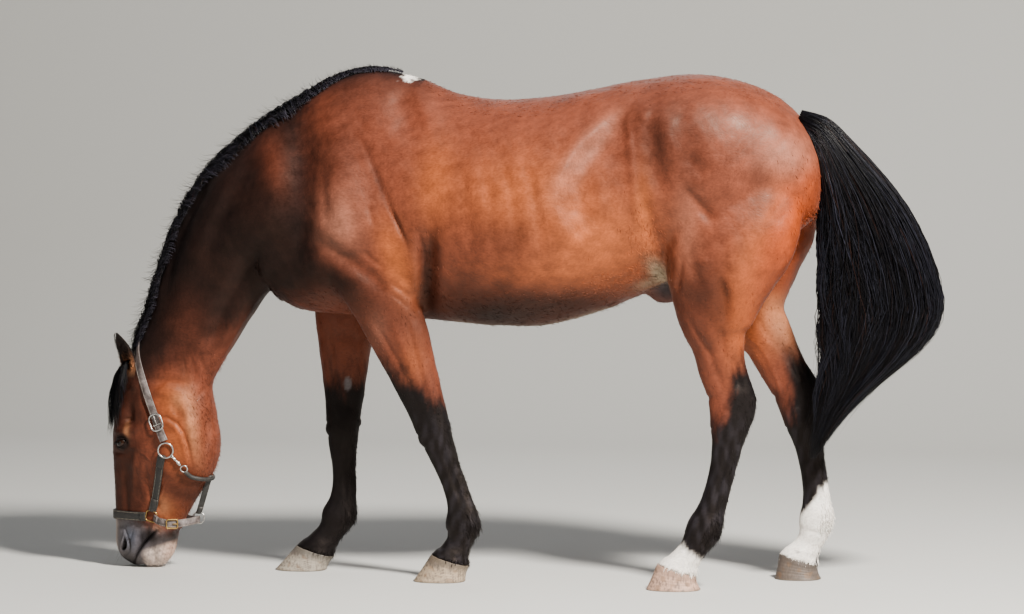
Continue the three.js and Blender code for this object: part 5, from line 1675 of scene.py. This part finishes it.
def make_lashes():
    paths, facing = [], []
    pick = np.random.default_rng(74)
    s = np.linspace(0, 1, 6)[:, None]
    for side in (-1, 1):
        centre, out, long, up = eye_axes(side)
        for share in np.linspace(-0.85, 0.85, 60):
            u = share * LIDS["half"] + pick.normal() * 0.4
            v = LIDS["upper"] * (1 - abs(share) ** 3.2) + 0.6
            h = np.sqrt(max((EYE["radius"] + 3.4) ** 2 - u * u - v * v, 4))
            way = out + 0.15 * up * pick.uniform(0.3, 1.6) + 0.25 * long * share
            way = unit(way + pick.normal(size=3) * 0.08)
            length = pick.uniform(10, 19) * (1 - 0.3 * abs(share))
            base = centre + long * u + up * v + out * (h - 1.5)
            paths.append(base + length * (s * way - 0.45 * s * s * up))
            facing.append(up)
    count = len(paths)
    places = np.stack([np.full(count, 0.86), np.linspace(0.15, 0.35, count)], 1)
    paths, facing = bend(np.array(paths)), np.array(facing)
    return make_locks("lashes", paths, np.full(count, 0.5), facing, plain(HAIR, count), places)


# ---------------------------------------------------------------- halter
# Places are (x, z) on the side of the head, or (x, y, z), before the head is turned.
STRAP = {"width": 26, "thick": 4.6}
RING = {"at": (-671, 389), "radius": 24, "wire": 2.8}
NOSE_RING = {"at": (-742, 170), "size": (40, 38), "corner": 9, "bar": 4.2, "thick": 4.4}
BUCKLE = {"at": (-700, 477), "size": (48, 58), "corner": 17, "bar": 5.2, "thick": 4.2}
CROWN = {"centre": (-700, 0, 477), "up": (-0.386, 0, 0.922), "from": -31}
CHEEK = {"top": (-683, 374), "foot": (-739, 184)}
NOSEBAND = {"centre": (-790, 0, 168), "from": -27, "width": 29, "thick": 8}
CHIN = {
    "through": [(-700, -80, 155), (-662, -66, 149), (-625, -38, 153)],
    "start": (-729, 164),
    "middle": (-606, 0, 158),
    "width": 24,
}
CHIN_RING = {"at": (-603, 0, 164), "radius": 19, "wire": 2.2}
CHIN_BUCKLE = {"size": (40, 32), "corner": 5, "bar": 4.4, "thick": 4.4}
THROAT = {"centre": (-690, 0, 330), "back": (0.96, 0, -0.28), "from": 52, "to": 145, "radius": 7}
THROAT_ENDS = [(-614, 322), (-607, 315)], [(-640, 345), (-650, 362)]  # near side, far side
SNAP = {"from": (-653, 372), "to": (-626, 341)}
SNAP_RADII = [4.5, 5.5, 3.2, 4.6, 4.6, 3.0, 3.6, 5.0, 5.5, 4.5, 3.0]
SNAP_RING = {"at": (-617, 331), "radius": 11, "wire": 2.2}
CONNECTOR = {"foot": (-603, 0, 178), "top": (-564, 0, 302), "across": (0.8, 0.6, 0), "width": 19}
HOLES = {"places": (9, 13, 17), "radius": 2.3, "rim": 0.5, "lift": 6.0}
METAL_LIFT = 6  # how far the rings' wire lies off the skin
HALTER_FROM = -520  # the halter touches the skin ahead of this
BESIDE, AROUND = 400, 500  # how far off the skin is looked for from, beside and round the head
TO_LEFT = (0, -1, 0)


class HeadSurface:
    """Finds the skin of the head from outside, before the head is turned."""

    def __init__(self, mesh):
        points = unbend(corners_of(mesh))
        keep = points[:, 0] < HALTER_FROM
        polygons = [p.vertices[:] for p in mesh.polygons if keep[p.vertices[0]]]
        self.tree = BVHTree.FromPolygons([Vector(p) for p in points], polygons)

    def touch(self, start, target):
        start, target = Vector(start), Vector(target)
        point, normal, _, _ = self.tree.ray_cast(start, (target - start).normalized())
        if normal.dot(target - start) > 0:
            normal.negate()
        return np.array(point), np.array(normal)

    def on_cheek(self, place, side):
        x, z = place
        return self.touch((x, side * BESIDE, z), (x, 0, z))

    def along_cheek(self, places, side):
        """Points and normals under each of several places."""
        return [np.array(v) for v in zip(*[self.on_cheek(place, side) for place in places])]

    def wrap(self, centre, first, second, start, end, count):
        """Points and normals round the head, from one way towards the other, in degrees."""
        centre, first, second = (np.array(v, float) for v in (centre, first, second))
        ways = [first * np.cos(a) + second * np.sin(a) for a in np.linspace(start, end, count) * DEG]
        return [np.array(v) for v in zip(*[self.touch(centre + way * AROUND, centre) for way in ways])]


def eased(points, rounds):
    """Pulls a path taut, so that it spans small hollows."""
    points = points.copy()
    for _ in range(rounds):
        points[1:-1] += 0.5 * ((points[:-2] + points[2:]) / 2 - points[1:-1])
    return points


def taut(points, centre, rounds):
    """Like eased, but never nearer to the centre than the path was."""
    centre = np.array(centre, float)
    least = np.linalg.norm(points - centre, axis=1)
    for _ in range(rounds):
        away = eased(points, 1) - centre
        points = centre + unit(away) * np.maximum(np.linalg.norm(away, axis=1), least)[:, None]
    return points


def resampled(points, count, *others):
    place = np.concatenate([[0], np.cumsum(np.linalg.norm(np.diff(points, axis=0), axis=1))])
    want = np.linspace(0, place[-1], count)
    paths = (points, *others)
    result = [np.stack([np.interp(want, place, v[:, k]) for k in range(3)], 1) for v in paths]
    return result if others else result[0]


def sweep(path, out, outline, across=None, closed=False):
    """Sweeps an outline of (across, outwards) along a path."""
    out = out - 0 * path
    along = np.roll(path, -1, 0) - np.roll(path, 1, 0) if closed else np.gradient(path, axis=0)
    wide = unit(np.cross(along, out) if across is None else across - 0 * along)
    high = unit(np.cross(wide, along))
    high *= np.sign((high * out).sum(1))[:, None]
    outline = np.broadcast_to(outline, (len(path),) + np.shape(outline)[-2:])
    rings = path[:, None] + outline[..., :1] * wide[:, None] + outline[..., 1:] * high[:, None]
    if not closed:
        return loft(rings)
    points, (quads, _) = loft(np.concatenate([rings, rings[:1]]))
    count = rings.shape[0] * rings.shape[1]
    return points[:count], [quads % count]


def strap_outline(width, thick, low):
    """A strap's section: flat, with rounded edges and a shallow crease where it is stitched."""
    w, t = width / 2, thick / 2
    turn = np.linspace(-np.pi / 2, np.pi / 2, 7)
    edge = np.stack([w - 0.5 * t + 0.5 * t * np.cos(turn), t + t * np.sin(turn)], 1)
    top = np.array([[w - 2.6, 2 * t - 0.1], [w - 3.3, 2 * t - 0.6], [w - 4.2, 2 * t], [0, 2 * t + 0.25]])
    half = np.concatenate([edge, top])
    return np.concatenate([half, (half * [-1, 1])[::-1][1:]]) + [0, low]


def oval(wide, high, sides, lift=0.0):
    a = circle(sides)
    return np.stack([wide * np.cos(a), lift + high * np.sin(a)], 1)


def stitches(path, out, width, lift, pitch=5.0):
    """Two rows of sunken thread along a strap."""
    count = int(np.linalg.norm(np.diff(path, axis=0), axis=1).sum() / pitch)
    mid, up = resampled(path, count * 4, out)
    across = unit(np.cross(unit(np.gradient(mid, axis=0)), up))
    forms = []
    for sign in (-1, 1):
        for i in range(4, (count - 2) * 4, 4):
            on = slice(i, i + 3)
            row = mid[on] + sign * (width / 2 - 3.3) * across[on] + lift * up[on]
            row[1] += 0.35 * up[i + 1]
            forms.append(sweep(row, up[on], oval(0.55, 0.55, 6)))
    return forms


def metal_loop(frame, hit, up, lift):
    """A frame with rounded corners, lying on a surface."""
    point, normal = hit
    corner, bar = frame["corner"], frame["bar"]
    w, h = ((size - bar) / 2 - corner for size in frame["size"])
    flat = []
    for k, (cx, cy) in enumerate([(w, h), (-w, h), (-w, -h), (w, -h)]):
        for a in (np.linspace(0, 90, 9) + 90 * k) * DEG:
            flat.append((cx + corner * np.cos(a), cy + corner * np.sin(a)))
    flat = np.array(flat)
    x = unit(np.cross(np.array(up, float), normal))
    path = point + flat[:, :1] * x + flat[:, 1:] * np.cross(normal, x) + lift * normal
    return sweep(path, normal, oval(bar / 2, frame["thick"] / 2, 12), closed=True)


def metal_ring(radius, wire, hit, lift=METAL_LIFT):
    point, normal = hit
    x = unit(np.cross(normal, [0.1, 0.2, 1]))
    a = circle(72)[:, None]
    path = point + lift * normal + radius * (np.cos(a) * x + np.sin(a) * np.cross(normal, x))
    return sweep(path, normal, oval(wire, wire, 12), closed=True)


def rod(ends, radius, out, steps=12):
    s = np.linspace(0, 1, steps)
    thin = np.minimum(1, 0.35 + 3.2 * np.minimum(s, 1 - s))
    outline = np.stack([oval(radius * k, radius * k, 10) for k in thin])
    return sweep(np.linspace(*ends, steps), out, outline)


def add_tack(name, forms, slot, material=None):
    """A piece of the halter. One with a material of its own is an extra that replaces no node."""
    points, faces = joined(forms)
    obj = make_object(f"tack_{name}", bend(points), faces)
    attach(obj, "root")
    if not material:
        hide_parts(f"halter_{name}")
    obj.data.materials.append(MATERIALS[material or slot])


def add_ring(name, ring, hit, lift=METAL_LIFT):
    add_tack(name, [metal_ring(ring["radius"], ring["wire"], hit, lift)], "steel")


def add_strap(name, path, out, width, slot, low=1.2, thick=STRAP["thick"]):
    """A stitched strap whose ends fold back over their rings; returns its thread."""
    forms = [sweep(path, out, strap_outline(width, thick, low))]
    for tip in (slice(0, 6), slice(-6, None)):
        piece, up = resampled(path[tip], 8, out[tip])
        forms.append(sweep(piece, up, strap_outline(width - 1.5, 3.2, low + thick - 0.4)))
    add_tack(name, forms, slot)
    return stitches(path, out, width, low + thick - 0.45)


def make_cheek(surface, side, hand):
    """The rings, buckle and cheek strap of one side."""
    big, nose, buckle = (surface.on_cheek(part["at"], side) for part in (RING, NOSE_RING, BUCKLE))
    top, foot = np.array(CHEEK["top"]), np.array(CHEEK["foot"])
    strap_x, strap_z = top - foot
    add_ring(f"ring_{hand}", RING, big)
    square = metal_loop(NOSE_RING, nose, (strap_x, 0, strap_z), METAL_LIFT)
    add_tack(f"nose_ring_{hand}", [square], "brass")
    point, normal = buckle
    x = unit(np.cross(CROWN["up"], normal))
    y = np.cross(normal, x)
    bar = rod((point + x * 19 - y * 8 + normal * 8, point - x * 19 - y * 8 + normal * 8), 1.5, normal)
    tongue = rod((point - y * 8 + normal * 9, point + y * 25 + normal * 11), 1.3, normal)
    add_tack(f"buckle_{hand}", [metal_loop(BUCKLE, buckle, CROWN["up"], 10), bar, tongue], "steel")
    way = np.linspace(0, 1, 24)[:, None]
    path, out = surface.along_cheek(top * (1 - way) + foot * way, side)
    path, out = eased(path, 6), unit(eased(out, 12))
    return add_strap(f"cheek_{hand}", path, out, STRAP["width"], "leather_dark")


def make_chin(surface):
    """The chin strap with its buckle and ring."""
    start, normal = surface.on_cheek(CHIN["start"], -1)
    left = [start + normal * 2.2, *np.array(CHIN["through"], float)]
    knots = np.array([*left, CHIN["middle"], *[p * [1, -1, 1] for p in left[::-1]]])
    path = resampled(smooth_rows(knots, range(9))(np.linspace(0, 8, 120)), 70)
    away = unit(np.cross(np.gradient(path, axis=0), [0, 0, 1.0]))
    away *= np.sign((away * (path - [-700, 0, 155])).sum(1))[:, None]
    thread = add_strap("chin_strap", path, away, CHIN["width"], "leather_worn", 0.0)
    i = 15  # where on the path the buckle sits
    square = metal_loop(CHIN_BUCKLE, (path[i], away[i]), (0, 0, 1), 8)
    tongue = rod((path[i] + away[i] * 8, path[i + 3] + away[i + 3] * 9), 1.5, away[i])
    add_tack("chin_buckle", [square, tongue], "brass")
    add_ring("chin_ring", CHIN_RING, (np.array(CHIN_RING["at"], float), np.array([0, 1.0, 0])), 0)
    return thread


def make_throat(surface):
    """The round throat strap, its snap, and the strap from there down to the chin."""
    near, far = (surface.along_cheek(places, side) for places, side in zip(THROAT_ENDS, (-1, 1)))
    turn = THROAT["from"], THROAT["to"]
    around = surface.wrap(THROAT["centre"], TO_LEFT, THROAT["back"], *turn, 50)
    path, out = (eased(np.concatenate(parts), 10) for parts in zip(near, around, far))
    path, out = resampled(path, 80, out)
    radius = THROAT["radius"]
    throat = sweep(path, unit(out), oval(radius, radius, 18, radius + 0.8))
    add_tack("throat_strap", [throat], "leather_dark")
    points, normals = surface.along_cheek((SNAP["from"], SNAP["to"]), -1)
    path = np.linspace(*(points + normals * METAL_LIFT), len(SNAP_RADII))
    outline = np.stack([oval(r, r, 14) for r in SNAP_RADII])
    add_tack("snap", [sweep(path, normals[0], outline)], "steel")
    add_ring("snap_ring", SNAP_RING, surface.on_cheek(SNAP_RING["at"], -1))
    path = np.linspace(CONNECTOR["foot"], CONNECTOR["top"], 24)
    out, across = np.array([-0.6, 0.8, 0.0]), np.array(CONNECTOR["across"], float)
    section = strap_outline(CONNECTOR["width"], 2.6, 0.1)
    forms = [sweep(path, sign * out, section, across) for sign in (-1, 1)]
    for end in (slice(0, 5), slice(-4, None)):
        forms.append(sweep(path[end], out, oval(9.3, 8.5, 20), across))
    add_tack("connector", forms, "leather_dark")


def make_halter(surface):
    threads, holes = [], []
    for side, hand in SIDES:
        threads += make_cheek(surface, side, hand)
    turn = CROWN["from"], 180 - CROWN["from"]
    path, out = surface.wrap(CROWN["centre"], TO_LEFT, CROWN["up"], *turn, 90)
    path, out = taut(path, CROWN["centre"], 30), unit(eased(out, 60))
    threads += add_strap("crown", path, out, STRAP["width"], "leather_worn", 1.6)
    for place in HOLES["places"]:
        for i in (place, len(path) - 1 - place):
            at = path[i] + out[i] * HOLES["lift"]
            holes.append(metal_ring(HOLES["radius"], HOLES["rim"], (at, out[i]), 0))
    turn = NOSEBAND["from"], 180 - NOSEBAND["from"]
    path, out = surface.wrap(NOSEBAND["centre"], TO_LEFT, (-1, 0, 0), *turn, 70)
    path, out = taut(path, NOSEBAND["centre"], 30), unit(eased(out, 40))
    width, thick = NOSEBAND["width"], NOSEBAND["thick"]
    threads += add_strap("noseband", path, out, width, "leather_dark", 1.0, thick)
    threads += make_chin(surface)
    make_throat(surface)
    add_tack("thread", threads, "leather_worn", "thread")
    add_tack("holes", holes, "leather_dark", "leather_dark")


# ---------------------------------------------------------------- materials
class Surface:
    """A material whose shader is built node by node, with patterns in object space."""

    def __init__(self, name):
        self.material = bpy.data.materials.new(name)
        self.material.use_nodes = True
        self.tree = self.material.node_tree

    def feed(self, socket, value):
        if isinstance(value, bpy.types.NodeSocket):
            self.tree.links.new(value, socket)
        else:
            socket.default_value = value

    def node(self, kind, inputs, output, **settings):
        """The output of a new node whose inputs are linked to sockets or set to values."""
        node = self.tree.nodes.new("ShaderNode" + kind)
        for key, value in settings.items():
            setattr(node, key, value)
        for key, value in inputs.items():
            self.feed(node.inputs[key], value)
        return node.outputs[output]

    @cached_property
    def place(self):
        return self.node("TexCoord", {}, "Object")

    def coat(self):
        """The colour kept on the corners of the mesh."""
        return self.node("Attribute", {}, "Color", attribute_name="coat")

    def noise(self, scale, detail, stretch=(1, 1, 1)):
        """Noise, drawn out along an axis where a stretch is small."""
        mapping = self.node("Mapping", {"Vector": self.place, "Scale": stretch}, "Vector")
        return self.node("TexNoise", {"Vector": mapping, "Scale": scale, "Detail": detail}, "Fac")

    def math(self, operation, a, b):
        return self.node("Math", {0: a, 1: b}, 0, operation=operation)

    def ranged(self, value, low, high, to_low, to_high):
        numbers = {"From Min": low, "From Max": high, "To Min": to_low, "To Max": to_high}
        return self.node("MapRange", {"Value": value, **numbers}, "Result")

    def scaled(self, colour, factor):
        return self.node("VectorMath", {0: colour, "Scale": factor}, "Vector", operation="SCALE")

    def blend(self, share, dark, light):
        ends = {"A": (*dark, 1), "B": (*light, 1)}
        return self.node("Mix", {**ends, "Factor": share}, "Result", data_type="RGBA")

    def finished(self, inputs, bump=None):
        """Feeds the shader; bump is height, strength and distance."""
        shader = self.tree.nodes["Principled BSDF"]
        if bump:
            height, strength, distance = bump
            relief = {"Strength": strength, "Distance": distance, "Height": height}
            inputs["Normal"] = self.node("Bump", relief, "Normal")
        for key, value in inputs.items():
            self.feed(shader.inputs[key], value)
        return self.material


def coat_material():
    """Short hair lying down the body: fine streaks in colour, gloss and relief."""
    s = Surface("coat")
    colour = s.coat()
    streaks, patches = s.noise(420, 3, (0.22, 1, 0.4)), s.noise(30, 4, (0.7, 1, 0.8))
    light, blotch = s.ranged(streaks, 0.3, 0.7, 0.82, 1.14), s.ranged(patches, 0.3, 0.7, 0.88, 1.08)
    rough, dull = s.ranged(streaks, 0.25, 0.75, 0.42, 0.56), s.ranged(patches, 0.3, 0.7, -0.02, 0.12)
    brightness = s.node("RGBToBW", {"Color": colour}, "Val")
    inputs = {
        "Base Color": s.scaled(colour, s.math("MULTIPLY", light, blotch)),
        "Roughness": s.math("ADD", rough, dull),
        "Specular IOR Level": s.ranged(brightness, 0.0, 0.05, 0.15, 0.34),
        "Specular Tint": (1.0, 0.78, 0.66, 1),
        "Sheen Weight": 0.02,
        "Sheen Roughness": 0.4,
        "Sheen Tint": (0.9, 0.75, 0.7, 1),
    }
    fine = s.math("ADD", streaks, s.math("MULTIPLY", patches, 4.0))
    return s.finished(inputs, (fine, 0.45, 0.0012))


def hair_material():
    s = Surface("hair")
    streaks = s.noise(300, 2, (1, 1, 0.06))
    inputs = {
        "Base Color": s.scaled(s.coat(), s.ranged(streaks, 0.3, 0.7, 0.7, 1.3)),
        "Roughness": s.ranged(streaks, 0.3, 0.7, 0.3, 0.5),
        "Specular IOR Level": 0.17,
        "Sheen Weight": 0.0,
    }
    return s.finished(inputs, (streaks, 0.3, 0.001))


def eye_material():
    s = Surface("eye")
    inputs = {
        "Base Color": s.scaled(s.coat(), s.ranged(s.noise(900, 3), 0.3, 0.7, 0.8, 1.2)),
        "Roughness": 0.16,
        "Specular IOR Level": 0.28,
        "Coat Weight": 0.1,
        "Coat Roughness": 0.02,
    }
    return s.finished(inputs)


def horn_material():
    s = Surface("horn")
    fibre, rings = s.noise(330, 4, (1, 1, 0.08)), s.noise(120, 3, (0.1, 0.1, 1))
    light, band = s.ranged(fibre, 0.3, 0.7, 0.78, 1.18), s.ranged(rings, 0.3, 0.7, 0.95, 1.04)
    inputs = {
        "Base Color": s.scaled(s.coat(), s.math("MULTIPLY", light, band)),
        "Roughness": s.ranged(fibre, 0.2, 0.8, 0.45, 0.7),
    }
    return s.finished(inputs, (s.math("ADD", fibre, s.math("MULTIPLY", rings, 0.3)), 0.4, 0.001))


def leather_material(name, dark, light, worn):
    """Creased leather, paler where it is rubbed."""
    s = Surface(name)
    grain = s.node("TexVoronoi", {"Scale": 900, "Vector": s.place}, "Distance")
    creases, wear = s.noise(140, 6), s.noise(34, 5)
    edge = s.node("NewGeometry", {}, "Pointiness")
    rub = s.math("ADD", s.ranged(wear, 0.42, 0.75, 0, worn), s.ranged(edge, 0.52, 0.62, 0, 0.5))
    colour = s.blend(s.math("MINIMUM", rub, 1.0), dark, light)
    inputs = {
        "Base Color": s.scaled(colour, s.ranged(creases, 0.3, 0.7, 0.7, 1.2)),
        "Roughness": s.ranged(wear, 0.3, 0.7, 0.42, 0.68),
    }
    return s.finished(inputs, (s.math("ADD", grain, creases), 0.35, 0.0008))


def metal_material(name, colour, rough):
    s = Surface(name)
    tarnish = s.noise(160, 5)
    inputs = {
        "Base Color": s.blend(s.ranged(tarnish, 0.35, 0.6, 0, 1), np.array(colour) * 0.55, colour),
        "Metallic": 1.0,
        "Roughness": s.ranged(tarnish, 0.3, 0.7, rough + 0.18, rough),
    }
    return s.finished(inputs, (tarnish, 0.15, 0.0004))


MATERIALS = {
    "coat_bay": coat_material(),
    "hair": hair_material(),
    "eye": eye_material(),
    "horn": horn_material(),
    "leather_dark": leather_material("leather_dark", srgb(24, 23, 22), srgb(82, 76, 70), 0.28),
    "leather_worn": leather_material("leather_worn", srgb(72, 62, 60), srgb(146, 136, 134), 0.85),
    "thread": leather_material("thread", srgb(120, 108, 92), srgb(170, 160, 142), 0.6),
    "steel": metal_material("steel", srgb(206, 204, 200), 0.22),
    "brass": metal_material("brass", srgb(196, 160, 96), 0.26),
}


# ---------------------------------------------------------------- stage, light and camera
CAMERA = {"at": (3346, -15732, 2100), "looks_at": (430, 0, 859), "lens": 179.2}  # millimetres
# Metres from here on.
FLOOR = {"front": -9.0, "bend": 4.0, "radius": 2.5, "top": 7.0, "half_width": 11, "below": 0.0005}
MIDDLE = (0, 0, 0.9)
LIGHTS = {  # place, size, power, colour
    "key": ((3.3, -3.6, 5.4), (1.0, 1.0), 1720, (1.0, 0.95, 0.88)),
    "overhead": ((-0.4, 0.2, 5.2), (4.5, 2.0), 32, (0.92, 0.95, 1.0)),
    "fill": ((-5.5, -5.5, 2.2), (3.0, 3.0), 58, (1.0, 0.95, 0.9)),
    "back": ((-1.5, 4.5, 3.6), (4.0, 2.5), 45, (0.95, 0.97, 1.0)),
}


def aimed(name, data, at, target):
    """A light or camera that looks from a place at a target."""
    obj = linked(name, data)
    obj.location = at
    obj.rotation_euler = (Vector(target) - Vector(at)).to_track_quat("-Z", "Y").to_euler()
    return obj


def make_stage():
    """A pale floor that curves up into a wall well behind, soft lights and the camera."""
    bend_at, radius = FLOOR["bend"], FLOOR["radius"]
    profile = [(FLOOR["front"], 0.0), (bend_at, 0.0)]
    for a in np.linspace(0.1, np.pi / 2, 12):
        profile.append((bend_at + radius * np.sin(a), radius - radius * np.cos(a)))
    profile.append((bend_at + radius, FLOOR["top"]))
    half = FLOOR["half_width"]
    rings = np.array([[(x, y, z - FLOOR["below"]) for x in (-half, half)] for y, z in profile])
    i = np.arange(len(profile) - 1) * 2
    mesh = bpy.data.meshes.new("floor")
    fill_mesh(mesh, rings.reshape(-1, 3), [np.stack([i, i + 1, i + 3, i + 2], 1)])
    floor = linked("floor", mesh)
    paper = Surface("pale_floor")
    mesh.materials.append(paper.finished({"Base Color": (0.52, 0.52, 0.50, 1), "Roughness": 0.85}))

    world = bpy.data.worlds.new("studio")
    world.use_nodes = True
    world.node_tree.nodes["Background"].inputs["Color"].default_value = (0.80, 0.86, 1.0, 1)
    world.node_tree.nodes["Background"].inputs["Strength"].default_value = 0.065
    bpy.context.scene.world = world
    for name, (at, size, power, colour) in LIGHTS.items():
        light = bpy.data.lights.new(name, "AREA")
        light.shape = "RECTANGLE"
        light.size, light.size_y = size
        light.energy, light.color = power, colour
        aimed(name, light, at, MIDDLE)

    camera = bpy.data.cameras.new("camera")
    camera.lens, camera.sensor_width = CAMERA["lens"], 36
    places = to_scene(np.array([CAMERA["at"], CAMERA["looks_at"]], float))
    bpy.context.scene.camera = aimed("camera", camera, *places)


# ---------------------------------------------------------------- the horse
FLESH = ["head", "neck", "trunk", "ear_left", "ear_right", "sheath"]
FLESH += [f"{leg}_{part}" for leg in LEGS for part in ("cannon", "pastern")]
FLESH += [f"{leg}_{'forearm' if leg.startswith('fore') else 'gaskin'}" for leg in LEGS]


def place_piece(obj, slot, nodes=()):
    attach(obj, "root")
    if nodes:
        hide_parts(*nodes)
    obj.data.materials.append(MATERIALS["horn" if slot == "horn_dark" else slot])


skin = make_skin()
model_skin(skin.data)
skin_corners, skin_normals = corners_of(skin.data), normals_of(skin.data)
skin_places = leg_places(skin_corners)
put_colour(skin.data, coat_colour(unbend(skin_corners), skin_places))
place_piece(skin, "coat_bay", FLESH)
for side, hand in SIDES:
    place_piece(make_eye(side), "eye", [f"eye_{hand}"])
for name, leg in LEGS.items():
    place_piece(make_hoof(name, leg), "horn_dark" if name == "hind_right" else "horn", [f"{name}_hoof"])

for piece in [tail_core(), *[make_tail(*row) for row in TAIL_HAIR]]:
    place_piece(piece, "hair", ["tail"])
for piece in [mane_core(), *[over_neck(*row) for row in MANE_HAIR]]:
    place_piece(piece, "hair", ["mane"])
for row in FORELOCK_HAIR:
    place_piece(over_neck(*row), "hair", ["forelock"])
for piece in make_fur():
    place_piece(piece, "coat_bay")
for piece in (make_ear_hair(), make_lashes()):
    place_piece(piece, "hair")
make_halter(HeadSurface(skin.data))
make_stage()
